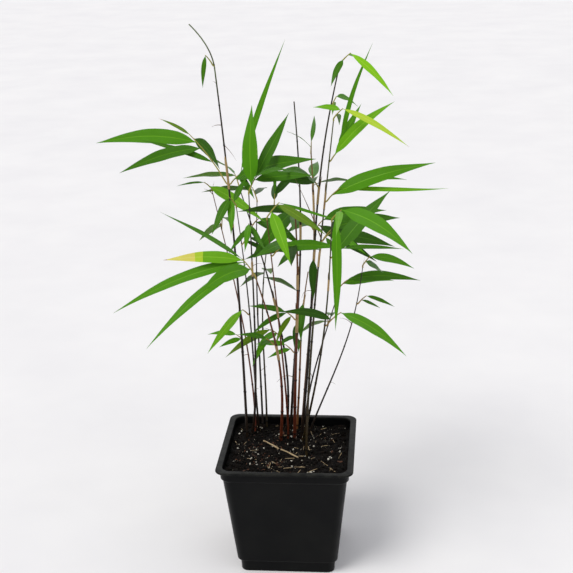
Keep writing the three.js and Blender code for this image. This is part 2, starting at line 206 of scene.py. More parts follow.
# ---- meshes -------------------------------------------------------------------------------------
@dataclass
class Shape:
    """A mesh in the making.

    Attributes:
        points: Corners, one row each.
        quads: Four-cornered faces, as rows of corner numbers.
        tris: Three-cornered faces.
        surface: Where each corner lies on its surface, three values each.
        layer: Which of the piece's materials each face takes, quads first.
    """

    points: np.ndarray
    quads: np.ndarray
    tris: np.ndarray
    surface: np.ndarray
    layer: np.ndarray

    @classmethod
    def joined(cls, shapes: Sequence["Shape"]) -> "Shape":
        """Several shapes as one.

        Args:
            shapes: The shapes, each kept as it is.

        Returns:
            The joined shape.
        """
        starts = np.cumsum([0] + [len(shape.points) for shape in shapes[:-1]])
        quad_layers = [shape.layer[: len(shape.quads)] for shape in shapes]
        tri_layers = [shape.layer[len(shape.quads) :] for shape in shapes]
        return cls(
            np.vstack([shape.points for shape in shapes]),
            np.vstack([shape.quads + start for shape, start in zip(shapes, starts)]),
            np.vstack([shape.tris + start for shape, start in zip(shapes, starts)]),
            np.vstack([shape.surface for shape in shapes]),
            np.concatenate(quad_layers + tri_layers),
        )


def swept(
    rings: np.ndarray,
    start: np.ndarray,
    end: np.ndarray,
    surface: np.ndarray | None = None,
    layers: np.ndarray | None = None,
) -> Shape:
    """A closed skin over a stack of rings, with a point in the middle of each end.

    Args:
        rings: (stations, corners, 3), each ring counter-clockwise seen from the last one's side.
        start: The point that closes the first ring.
        end: The point that closes the last ring.
        surface: (stations, corners, 3) surface places, or nothing.
        layers: The material of each strip of faces round a ring, or nothing for the first.

    Returns:
        The closed shape.
    """
    count, corners, _ = rings.shape
    index = 1 + np.arange(count * corners).reshape(count, corners)
    after = np.roll(index, -1, axis=1)
    quads = np.stack([index[:-1], after[:-1], after[1:], index[1:]], axis=-1).reshape(-1, 4)
    last = count * corners + 1
    first_fan = np.stack([np.zeros(corners, int), after[0], index[0]], axis=-1)
    last_fan = np.stack([np.full(corners, last), index[-1], after[-1]], axis=-1)
    if surface is None:
        surface = np.zeros(rings.shape)
    if layers is None:
        layers = np.zeros(corners, int)
    ends = [surface[0].mean(0, keepdims=True), surface[-1].mean(0, keepdims=True)]
    return Shape(
        np.vstack([start, rings.reshape(-1, 3), end]),
        quads,
        np.vstack([first_fan, last_fan]),
        np.vstack([ends[0], surface.reshape(-1, 3), ends[1]]),
        np.concatenate([np.tile(layers, count - 1), layers, layers]),
    )


def looped(rings: np.ndarray, surface: np.ndarray) -> Shape:
    """A closed skin over a ring of rings, which needs no end points.

    Args:
        rings: (stations, corners, 3), where the last station joins the first.
        surface: (stations, corners, 3) surface places.

    Returns:
        The closed shape.
    """
    count, corners, _ = rings.shape
    index = np.arange(count * corners).reshape(count, corners)
    after, onward = np.roll(index, -1, axis=1), np.roll(index, -1, axis=0)
    beyond = np.roll(after, -1, axis=0)
    quads = np.stack([index, onward, beyond, after], axis=-1).reshape(-1, 4)
    return Shape(
        rings.reshape(-1, 3),
        quads,
        np.zeros((0, 3), int),
        surface.reshape(-1, 3),
        np.zeros(len(quads), int),
    )


def tube(line: np.ndarray, radii: np.ndarray, sides: int, across: np.ndarray, seed: float = 0.0) -> Shape:
    """A round tube: at each point of a line, a circle square to it.

    Args:
        line: The centre line, one row per ring.
        radii: Each ring's radius.
        sides: Corners of a ring.
        across: One way square to the whole line, or near it.
        seed: The number that its surface carries.

    Returns:
        The closed tube. Its surface carries the distance along, the distance round, and the seed.
    """
    along = unit(np.gradient(line, axis=0))
    side = unit(across - (along @ across)[:, None] * along)
    over = np.cross(along, side)
    turn = np.arange(sides) / sides * 2 * math.pi
    outward = side[:, None] * np.cos(turn)[:, None] + over[:, None] * np.sin(turn)[:, None]
    rings = line[:, None] + radii[:, None, None] * outward
    length = np.concatenate([[0], np.cumsum(np.linalg.norm(np.diff(line, axis=0), axis=1))])
    surface = np.zeros(rings.shape)
    surface[..., 0] = length[:, None]
    surface[..., 1] = radii[:, None] * turn
    surface[..., 2] = seed
    return swept(rings, line[0], line[-1], surface)


def arched(base: np.ndarray, run: np.ndarray, arch: float) -> Line:
    """A line of a given run that bows upwards by a share of its length: a parabola from base to end.

    Args:
        base: Where it starts.
        run: From its start to its end.
        arch: The share.

    Returns:
        A function that gives the points at shares of the run.
    """
    along = unit(run)
    lift = unit(UP - (UP @ along) * along) * 4 * arch * np.linalg.norm(run)
    return lambda share: base + share[:, None] * run + (share * (1 - share))[:, None] * lift


def make_piece(
    name: str,
    shape: Shape,
    finishes: Sequence[bpy.types.Material],
    nodes: Sequence[str] = (),
    crease: float = 50.0,
) -> bpy.types.Object:
    """Turns a shape into a finished piece that rides on the frame.

    Args:
        name: The piece's name.
        shape: Its mesh, in millimetres.
        finishes: Its materials, in the order of the shape's layers.
        nodes: The CAD nodes that it stands for.
        crease: Faces that meet at more than this many degrees keep a sharp edge.

    Returns:
        The piece.
    """
    mesh = bpy.data.meshes.new(name)
    mesh.from_pydata((shape.points * MM).tolist(), [], shape.quads.tolist() + shape.tris.tolist())
    place = mesh.attributes.new(SURFACE, "FLOAT_VECTOR", "POINT")
    place.data.foreach_set("vector", shape.surface.astype(np.float32).ravel())
    for finish in finishes:
        mesh.materials.append(finish)
    mesh.polygons.foreach_set("material_index", shape.layer.astype(np.int32))
    mesh.shade_smooth()
    mesh.set_sharp_from_angle(angle=math.radians(crease))
    mesh.validate()
    piece = bpy.data.objects.new(name, mesh)
    bpy.context.scene.collection.objects.link(piece)
    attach(piece, BODY)
    if nodes:
        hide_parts(*nodes)
    log.info("%s: %d faces, stands for %d nodes", name, len(mesh.polygons), len(nodes))
    return piece


# ---- materials ----------------------------------------------------------------------------------
class Graph:
    """A material's nodes. Each method adds one and gives back what it puts out."""

    def __init__(self, name: str) -> None:
        """Starts an empty material.

        Args:
            name: The material's name.
        """
        self.material = bpy.data.materials.new(name)
        self.material.use_nodes = True
        self.tree = self.material.node_tree
        self.tree.nodes.clear()

    def node(self, kind: str, inputs: dict, **settings: object) -> bpy.types.Node:
        """Adds a node.

        Args:
            kind: Its type name.
            inputs: Values or outputs of other nodes for its sockets, by name or number.
            settings: Its own settings.

        Returns:
            The node.
        """
        made = self.tree.nodes.new(kind)
        for key, value in settings.items():
            setattr(made, key, value)
        for key, value in inputs.items():
            if isinstance(value, bpy.types.NodeSocket):
                self.tree.links.new(value, made.inputs[key])
            elif isinstance(value, tuple) and made.inputs[key].type == "RGBA":
                made.inputs[key].default_value = (*value, 1.0)
            else:
                made.inputs[key].default_value = value
        return made

    def place(self) -> bpy.types.NodeSocket:
        """Object coordinates, in metres."""
        return self.node("ShaderNodeTexCoord", {}).outputs["Object"]

    def surface(self) -> bpy.types.Node:
        """The surface attribute's three values, in millimetres along and round, and the seed."""
        read = self.node("ShaderNodeAttribute", {}, attribute_name=SURFACE)
        return self.node("ShaderNodeSeparateXYZ", {0: read.outputs["Vector"]})

    def stretched(self, vector: bpy.types.NodeSocket, scale: Colour) -> bpy.types.NodeSocket:
        """A place multiplied along each axis."""
        return self.node("ShaderNodeMapping", {"Vector": vector, "Scale": scale}).outputs[0]

    def noise(self, vector: bpy.types.NodeSocket, scale: float, detail: float = 3.0) -> bpy.types.NodeSocket:
        """Cloudy noise from 0 to 1 at a number of clouds to the metre."""
        inputs = {"Vector": vector, "Scale": scale, "Detail": detail, "Roughness": 0.6}
        return self.node("ShaderNodeTexNoise", inputs).outputs[0]

    def between(
        self, value: bpy.types.NodeSocket, low: float, high: float, to: tuple[float, float] = (0, 1)
    ) -> bpy.types.NodeSocket:
        """A value stretched from one range to another, and held inside it."""
        inputs = {0: value, 1: low, 2: high, 3: to[0], 4: to[1]}
        return self.node("ShaderNodeMapRange", inputs).outputs[0]

    def maths(self, operation: str, first: object, second: object = 0.0) -> bpy.types.NodeSocket:
        """One sum on two values."""
        return self.node("ShaderNodeMath", {0: first, 1: second}, operation=operation).outputs[0]

    def mixed(self, share: object, first: object, second: object) -> bpy.types.NodeSocket:
        """A colour between two others."""
        inputs = {0: share, 6: first, 7: second}
        return self.node("ShaderNodeMix", inputs, data_type="RGBA").outputs[2]

    def bump(self, height: bpy.types.NodeSocket, depth: float, under: object = None) -> bpy.types.NodeSocket:
        """A relief of a depth in millimetres, over another one if given."""
        inputs = {"Height": height, "Strength": 1.0, "Distance": depth * MM}
        if under is not None:
            inputs["Normal"] = under
        return self.node("ShaderNodeBump", inputs).outputs[0]

    def finish(self, **sockets: object) -> bpy.types.Material:
        """Closes the graph with a principled shader.

        Args:
            sockets: Its inputs, with words joined by underscores.

        Returns:
            The material.
        """
        inputs = {name.replace("_", " "): value for name, value in sockets.items()}
        shader = self.node("ShaderNodeBsdfPrincipled", inputs)
        self.node("ShaderNodeOutputMaterial", {"Surface": shader.outputs[0]})
        return self.material


@dataclass(frozen=True)
class MouldedPlastic:
    """Black nursery-pot plastic: satin, finely grained, with a faint film of dust, and a painted highlight
    along the lip: a grey band broken up by scuffs.
    """

    colour: Colour = paint(4, 5, 6)
    # The grey of the faint dust film, and of the painted highlight along the lip.
    dust_and_lip_highlight: Colour = paint(74, 74, 66)
    lip_height: float = 94.0
    lip_highlight_depth: float = 2.2

    def make(self) -> bpy.types.Material:
        """Builds the material."""
        graph = Graph("moulded_plastic")
        place = graph.place()
        height = graph.node("ShaderNodeSeparateXYZ", {0: place}).outputs[2]
        # Painted highlight: a grey band over the top of the lip, where the rounded lip would catch the light,
        # broken up by scuff-like noise.
        lip_highlight_band = graph.between(height, (self.lip_height - self.lip_highlight_depth) * MM, self.lip_height * MM)
        lip_highlight_scuffs = graph.between(graph.noise(place, 160.0, 5.0), 0.36, 0.62)
        painted_lip_highlight = graph.maths("MULTIPLY", graph.maths("MULTIPLY", lip_highlight_band, lip_highlight_scuffs), 0.2)
        film = graph.between(graph.noise(place, 26.0, 4.0), 0.42, 0.8, (0.0, 0.05))
        colour = graph.mixed(graph.maths("MAXIMUM", painted_lip_highlight, film), self.colour, self.dust_and_lip_highlight)
        rough = graph.between(graph.noise(place, 45.0, 4.0), 0.3, 0.7, (0.3, 0.46))
        texture = graph.bump(graph.noise(place, 1400.0, 2.0), 0.035)
        flow = graph.bump(graph.noise(graph.stretched(place, (1.0, 1.0, 0.25)), 70.0, 2.0), 0.16, texture)
        return graph.finish(Base_Color=colour, Roughness=rough, Normal=flow, Specular_IOR_Level=0.11)


@dataclass(frozen=True)
class PottingMix:
    """Damp peat: almost black, with brown fibre and a rough crumb."""

    name: str = "potting_mix"
    dark: Colour = paint(7, 5, 4)
    brown: Colour = paint(32, 22, 15)
    crumb: float = 0.5

    def make(self) -> bpy.types.Material:
        """Builds the material."""
        graph = Graph(self.name)
        place = graph.place()
        fibre = graph.between(graph.noise(place, 420.0, 5.0), 0.5, 0.75)
        colour = graph.mixed(fibre, self.dark, self.brown)
        rough = graph.between(graph.noise(place, 300.0, 2.0), 0.3, 0.7, (0.75, 1.0))
        relief = graph.bump(graph.noise(place, 900.0, 5.0), self.crumb)
        return graph.finish(Base_Color=colour, Roughness=rough, Normal=relief, Specular_IOR_Level=0.15)


@dataclass(frozen=True)
class Crumbly:
    """Grains and chips: two tones that change from one to the next, and a pitted face."""

    name: str
    pale: Colour
    dark: Colour
    patches: float = 260.0
    pits: float = 0.12

    def make(self) -> bpy.types.Material:
        """Builds the material."""
        graph = Graph(self.name)
        place = graph.place()
        tone = graph.between(graph.noise(place, self.patches, 2.0), 0.35, 0.65)
        colour = graph.mixed(tone, self.pale, self.dark)
        rough = graph.between(graph.noise(place, 500.0, 2.0), 0.3, 0.7, (0.7, 0.95))
        relief = graph.bump(graph.noise(place, 2600.0, 3.0), self.pits)
        return graph.finish(Base_Color=colour, Roughness=rough, Normal=relief)


@dataclass(frozen=True)
class CaneSkin:
    """A culm's skin: its own tone below, a greener one above, streaks along it and dark nodes."""

    name: str
    low: Colour
    high: Colour
    streak: Colour
    node: Colour
    greens: tuple[float, float] = (0.22, 0.42)

    def make(self) -> bpy.types.Material:
        """Builds the material."""
        graph = Graph(self.name)
        place, surface = graph.place(), graph.surface()
        height = graph.node("ShaderNodeSeparateXYZ", {0: place}).outputs[2]
        cloud = graph.maths("MULTIPLY", graph.noise(place, 22.0, 2.0), 0.16)
        climb = graph.between(graph.maths("ADD", height, cloud), *self.greens)
        body = graph.mixed(climb, self.low, self.high)
        lines = graph.noise(graph.stretched(place, (1.0, 1.0, 0.06)), 900.0, 3.0)
        streaks = graph.maths("MULTIPLY", graph.between(lines, 0.48, 0.68), 0.6)
        marked = graph.mixed(graph.between(surface.outputs[2], 0.25, 0.9), body, self.node)
        colour = graph.mixed(streaks, marked, self.streak)
        rough = graph.between(graph.noise(place, 150.0, 2.0), 0.3, 0.7, (0.36, 0.52))
        relief = graph.bump(lines, 0.05)
        return graph.finish(Base_Color=colour, Roughness=rough, Normal=relief, Specular_IOR_Level=0.25)


@dataclass(frozen=True)
class DryHusk:
    """Papery sheath or straw: pale, fibrous along its length, with brown flecks."""

    name: str
    pale: Colour
    brown: Colour

    def make(self) -> bpy.types.Material:
        """Builds the material."""
        graph = Graph(self.name)
        place, surface = graph.place(), graph.surface()
        fibres = graph.node(
            "ShaderNodeTexWave",
            {"Vector": graph.node("ShaderNodeCombineXYZ", {0: surface.outputs[1]}).outputs[0], "Scale": 1.4},
        ).outputs[1]
        flecks = graph.between(graph.noise(graph.stretched(place, (1.0, 1.0, 0.3)), 420.0, 4.0), 0.5, 0.72)
        thread = graph.maths("MULTIPLY", fibres, 0.2)
        colour = graph.mixed(graph.maths("MAXIMUM", flecks, thread), self.pale, self.brown)
        rough = graph.between(graph.noise(place, 300.0, 2.0), 0.3, 0.7, (0.55, 0.8))
        relief = graph.bump(fibres, 0.03)
        return graph.finish(Base_Color=colour, Roughness=rough, Normal=relief)


@dataclass(frozen=True)
class BladeSkin:
    """One face of a leaf: a plain green, fine ribs along the blade, and a satin waxiness."""

    name: str
    colour: Colour
    gloss: tuple[float, float] = (0.3, 0.46)
    ribs: float = 1.0
    rib_depth: float = 0.05

    def make(self) -> bpy.types.Material:
        """Builds the material."""
        graph = Graph(self.name)
        place, surface = graph.place(), graph.surface()
        across = graph.node("ShaderNodeCombineXYZ", {0: surface.outputs[1]}).outputs[0]
        ribs = graph.node("ShaderNodeTexWave", {"Vector": across, "Scale": self.ribs}).outputs[1]
        rough = graph.between(graph.noise(place, 90.0, 3.0), 0.3, 0.7, self.gloss)
        puckers = graph.bump(graph.noise(place, 120.0, 2.0), 0.25)
        relief = graph.bump(ribs, self.rib_depth, puckers)
        return graph.finish(Base_Color=self.colour, Roughness=rough, Normal=relief, Specular_IOR_Level=0.14)


# ---- the pot ------------------------------------------------------------------------------------
def softened(corners: np.ndarray, radius: float, steps: int = 4) -> np.ndarray:
    """Rounds a profile's inner corners.

    Each becomes a parabola that leaves and meets its sides a radius away, or nearer on a short side.

    Args:
        corners: The profile, one row per corner.
        radius: How far from the corner the rounding starts.
        steps: Points in each rounding.

    Returns:
        The finer profile.
    """
    here, before, after = corners[1:-1], corners[:-2], corners[2:]
    sides = np.linalg.norm(before - here, axis=1), np.linalg.norm(after - here, axis=1)
    reach = np.minimum(radius, 0.45 * np.minimum(*sides))[:, None]
    start, end = here + unit(before - here) * reach, here + unit(after - here) * reach
    t = np.linspace(0, 1, steps)[None, :, None]
    curve = (1 - t) ** 2 * start[:, None] + 2 * t * (1 - t) * here[:, None] + t**2 * end[:, None]
    return np.vstack([corners[:1], curve.reshape(-1, 2), corners[-1:]])


@dataclass
class NurseryPot:
    """The square tapered pot: its levels are the part's own, with moulded roundings."""

    height: float = 94.0
    lip_half: float = 52.5
    lip_thick: float = 1.6
    collar_half: float = 49.1
    collar_depth: float = 8.5
    body_top_half: float = 47.6
    body_foot_half: float = 39.4
    foot_height: float = 10.5
    foot_half: float = 36.8
    foot_step: float = 2.2
    step_rise: float = 1.2
    wall: float = 1.6
    floor: float = 2.0
    corner: float = 8.0
    rounding: float = 0.7
    bulge: float = 0.5
    corner_steps: int = 12
    side_steps: int = 16

    def outer_levels(self) -> list[tuple[float, float]]:
        """The outside from the foot up to the collar, as half width and height."""
        collar_foot = self.height - self.collar_depth
        return [
            (self.foot_half, 0.0),
            (self.body_foot_half - self.foot_step, self.foot_height - self.step_rise),
            (self.body_foot_half, self.foot_height),
            (self.body_top_half, collar_foot - self.step_rise),
            (self.collar_half, collar_foot),
        ]

    def inner_levels(self, inset: float, floor: float) -> list[tuple[float, float]]:
        """The same levels set in, with the lowest raised to a floor."""
        return [(half - inset, max(z, floor)) for half, z in self.outer_levels()]

    def rounded_square(self, half: np.ndarray, z: np.ndarray) -> np.ndarray:
        """Squares with round corners, one above another.

        Each point is a corner's centre plus a corner radius the way it faces. Along a side the centre
        slides from one corner to the next while the way it faces stays square to the side.

        Args:
            half: Half of each square's width.
            z: Each square's height.

        Returns:
            (squares, points, 3), counter-clockwise from above.
        """
        arc = np.linspace(0, math.pi / 2, self.corner_steps + 1)
        slide = np.linspace(1, -1, self.side_steps + 1)[1:-1]
        faces = np.vstack([np.stack([np.cos(arc), np.sin(arc)], 1), np.tile([0.0, 1.0], (len(slide), 1))])
        centres = np.vstack([np.ones((len(arc), 2)), np.stack([slide, np.ones(len(slide))], 1)])
        quarter = np.array([[0.0, 1.0], [-1.0, 0.0]])
        turns = [np.linalg.matrix_power(quarter, times) for times in range(4)]
        facing, centre = (np.vstack([part @ turn for turn in turns]) for part in (faces, centres))
        corner = self.corner * half / self.lip_half
        flat = (half - corner)[:, None, None] * centre + corner[:, None, None] * facing
        middle = 1 - np.abs(centre).min(axis=1) ** 2
        share = np.clip(z / self.height, 0, 1)
        swell = self.bulge * np.sin(math.pi * share)[:, None] * middle * (np.abs(centre).min(axis=1) < 1)
        flat = flat + swell[..., None] * facing
        return np.concatenate([flat, np.broadcast_to(z[:, None, None], (*flat.shape[:2], 1))], axis=2)

    def shape(self) -> Shape:
        """The pot as one skin: up the outside, over the lip, down the inside and across the floor."""
        lip = [
            (self.collar_half, self.height - self.lip_thick),
            (self.lip_half, self.height - self.lip_thick),
            (self.lip_half, self.height),
            (self.collar_half - self.wall, self.height),
        ]
        inside = self.inner_levels(self.wall, self.floor)[::-1]
        centre = [(self.foot_half / 2, 0.0)], [(self.foot_half / 2, self.floor)]
        corners = np.array(centre[0] + self.outer_levels() + lip + inside + centre[1])
        profile = softened(corners, self.rounding)
        rings = self.rounded_square(profile[:, 0], profile[:, 1])
        return swept(rings, np.zeros(3), np.array([0.0, 0.0, self.floor]))

    def build(self) -> None:
        """Makes the pot's piece."""
        make_piece("pot_shell", self.shape(), [MouldedPlastic().make()], ["pot"], crease=60)


# ---- what grows ---------------------------------------------------------------------------------
GAP = 0.3  # running gap between neighbouring solids
MIX_TOP = 87.0


class CaneTone(Enum):
    """The colourings of culms."""

    RED = CaneSkin("cane_red", paint(98, 44, 25), paint(104, 74, 34), paint(44, 20, 12), paint(30, 16, 10))
    TALL = CaneSkin(
        "cane_tall", paint(36, 25, 16), paint(92, 108, 62), paint(18, 13, 9), paint(16, 11, 8), (0.44, 0.48)
    )
    DARK = CaneSkin("cane_dark", paint(34, 23, 15), paint(46, 38, 18), paint(16, 12, 8), paint(14, 10, 7))
    TAN = CaneSkin("cane_tan", paint(128, 84, 48), paint(118, 98, 50), paint(66, 38, 22), paint(42, 26, 16))
    OLIVE = CaneSkin("cane_olive", paint(50, 39, 19), paint(70, 76, 30), paint(24, 19, 10), paint(22, 17, 10))


@dataclass(frozen=True)
class Rhizome:
    """A creeping rhizome: its culms come up at even steps along it.

    Attributes:
        start: Where its first culm stands, X and Y.
        heading: Which way it creeps.
        step: From one culm to the next.
        canes: Its culms, in order.
    """

    start: tuple[float, float]
    heading: float
    step: float
    canes: tuple[str, ...]

    def feet(self) -> dict[str, np.ndarray]:
        """Each of its culms' foot on the mix."""
        steps = self.step * np.arange(len(self.canes))[:, None]
        return dict(zip(self.canes, np.array(self.start) + steps * direction(self.heading, 0)[:2]))


RHIZOMES = (
    Rhizome(
        (-36, 24), 52, 4.6, ("tall_left", "front_left", "thin_left", "green_left", "slim_left", "back_lean")
    ),
    Rhizome((-6, 36), 10, 4.8, ("dark_lean", "spike", "stub", "broad_brown", "mid_right")),
    Rhizome((-8, 18), 25, 6, ("brown_low", "front_thin", "brown_pair", "tall_right", "outer_right")),
    Rhizome((10, 19), 280, 26, ("front_right", "second_right")),
)
FEET = {name: foot for rhizome in RHIZOMES for name, foot in rhizome.feet().items()}


@dataclass
class Cane:
    """One culm: a tapering limb with a node wherever a twig leaves it, and evenly between.

    Attributes:
        name: Its name in the part.
        height: How high its tip stands.
        lean: The heading that it leans towards, and how far.
        bow: How far it swings right of straight, and at which share of the way up.
        radius: Its radius at the foot, as the part has it.
        tone: Its colouring.
        husks: Sheaths that it keeps, each the height of its foot and its length.
        nod: How far its tip arches over to the left.
        twig_heights: Where twigs leave it.
    """

    name: str
    height: float
    lean: tuple[float, float]
    bow: tuple[float, float]
    radius: float
    tone: CaneTone
    husks: tuple[tuple[float, float], ...] = ()
    nod: float = 0.0
    twig_heights: list[float] = field(default_factory=list)

    TIP_SHARE = 0.4
    NOD_START = 0.9  # the share of the way up where a nodding tip starts to arch over
    SKIN = 1.14  # how much thicker it is than the part's solid, with its wax and old sheath rings
    SIDES = 12
    BURIED = 1.6  # how far the foot reaches into the mix
    LONGEST = 36.0  # the longest internode
    STEP = 3.0
    NODE_RISE = 0.26  # how far a node stands out, as a share of the radius
    NODE_HALF = 0.55  # half the height of its ridge

    @property
    def foot(self) -> np.ndarray:
        """Its foot on the mix, X and Y."""
        return FEET[self.name]

    @property
    def top(self) -> np.ndarray:
        """Its tip."""
        heading, distance = self.lean
        return np.array([*self.foot, self.height]) + distance * direction(heading, 0)

    def line(self, shares: np.ndarray) -> np.ndarray:
        """Its centre line.

        It is the straight line from foot to tip, swung aside by the bow as a sine that is skewed to
        its place, and arched over at the tip by a parabola.

        Args:
            shares: How far along to take it.

        Returns:
            A point for each share.
        """
        shares = np.asarray(shares, float)
        low = np.array([*self.foot, MIX_TOP + GAP])
        line = low + shares[:, None] * (self.top - low)
        swing, place = self.bow
        skewed = shares ** (math.log(0.5) / math.log(place))
        over = (np.maximum(shares - self.NOD_START, 0) / (1 - self.NOD_START)) ** 2
        line[:, 0] += swing * np.sin(math.pi * skewed) + self.nod * (shares - over)
        return line

    def thickness(self, shares: np.ndarray) -> np.ndarray:
        """The radius narrows evenly from foot to tip."""
        return self.SKIN * self.radius * (1 - (1 - self.TIP_SHARE) * shares)

    def share_at(self, heights: np.ndarray) -> np.ndarray:
        """How far along the line each height is reached."""
        shares = np.linspace(0, 1, 600)
        return np.interp(heights, self.line(shares)[:, 2], shares)

    def at(self, height: float) -> tuple[np.ndarray, float]:
        """The centre and the radius at a height."""
        share = self.share_at(np.array([height]))
        return self.line(share)[0], float(self.thickness(share)[0])

    def nodes(self) -> np.ndarray:
        """The heights of its nodes: at each twig, and evenly in between."""
        fixed = sorted({MIX_TOP + 5.0, *self.twig_heights, *(foot for foot, _ in self.husks), self.top[2]})
        kept = [fixed[0]] + [high for low, high in zip(fixed, fixed[1:]) if high - low > 3]
        heights = [
            np.linspace(low, high, max(2, math.ceil((high - low) / self.LONGEST) + 1))
            for low, high in zip(kept, kept[1:])
        ]
        return np.unique(np.concatenate(heights))[:-1]

    def shape(self) -> Shape:
        """The culm: circles along its line, wider by a bell curve at each node."""
        heights = np.concatenate(
            [
                np.arange(MIX_TOP + GAP, self.top[2], self.STEP),
                (self.nodes()[:, None] + np.array([-1.6, -0.9, -0.4, 0.0, 0.4, 0.9, 1.6])).ravel(),
                [self.top[2]],
            ]
        )
        heights = np.unique(np.clip(heights, MIX_TOP + GAP, self.top[2]))
        heights = heights[np.concatenate([[True], np.diff(heights) > 0.15])]
        shares = self.share_at(heights)
        line = self.line(shares)
        away = np.abs(heights[:, None] - self.nodes()).min(axis=1)
        ridge = np.exp(-((away / self.NODE_HALF) ** 2))
        radii = self.thickness(shares) * (1 + self.NODE_RISE * ridge)
        line = np.vstack([line[0] - UP * self.BURIED, line])
        radii = np.concatenate([radii[:1], radii])
        made = tube(line, radii, self.SIDES, np.cross(TO_BACK, UP))
        near = np.exp(-((np.concatenate([away[:1], away]) / 1.1) ** 2))
        made.surface[1:-1, 2] = np.repeat(near, self.SIDES)
        return made

    def husk(self, foot: float, length: float) -> Shape:
        """A sheath: a thin sleeve from a node up, cut off slantwise and standing away at its point.

        Round the culm the sleeve's height runs from two thirds of its length at the back to all of it
        where it is pointed. Each strip goes up the outside and comes down the inside.

        Args:
            foot: The height of its node.
            length: Its length at the point.

        Returns:
            The closed sleeve.
        """
        random = seeded(f"{self.name}{foot}")
        point = next(random) * 2 * math.pi
        turn = np.arange(18) / 18 * 2 * math.pi
        reach = length * (0.62 + 0.38 * np.maximum(np.cos((turn - point) / 2), 0) ** 6)
        climb = np.linspace(0, 1, 9)
        wall = np.concatenate([climb, climb[::-1]])
        inside = np.concatenate([np.zeros(9), np.ones(9)])
        height = foot + reach[:, None] * wall
        share = self.share_at(height.ravel())
        centre = self.line(share).reshape(*height.shape, 3)
        radius = self.thickness(share).reshape(height.shape) * 1.12 + 0.14 - 0.1 * inside
        radius = radius + 0.5 * np.maximum(np.cos((turn - point) / 2), 0)[:, None] ** 6 * wall**3
        outward = np.stack([np.cos(turn), np.sin(turn), np.zeros(18)], axis=1)[:, None]
        surface = np.zeros(centre.shape)
        surface[..., 0] = height - foot
        surface[..., 1] = turn[:, None] * self.radius
        return looped(centre + radius[..., None] * outward, surface)


class LeafTone(Enum):
    """The colourings of leaves: the upper face, the underside and the midrib. SHADE is painted shade: a
    darker green for leaves deep in the crown and hanging under it.
    """

    FRESH = (paint(76, 138, 8), paint(104, 150, 44), paint(100, 160, 24))
    BRIGHT = (paint(102, 164, 14), paint(118, 164, 48), paint(130, 184, 40))
    VIVID = (paint(134, 198, 24), paint(138, 188, 56), paint(164, 214, 58))
    DEEP = (paint(60, 112, 8), paint(86, 128, 36), paint(82, 134, 22))
    # Painted shade: a darker green that stands in for the shade falling on leaves inside and under the crown.
    SHADE = (paint(42, 82, 6), paint(64, 102, 26), paint(58, 100, 16))
    OLIVE = (paint(88, 122, 10), paint(108, 134, 44), paint(112, 142, 30))
    LIME = (paint(170, 200, 46), paint(172, 196, 80), paint(188, 210, 84))
    YELLOW = (paint(214, 206, 96), paint(208, 202, 116), paint(220, 214, 130))
    DRY = (paint(158, 122, 78), paint(164, 132, 92), paint(172, 138, 98))


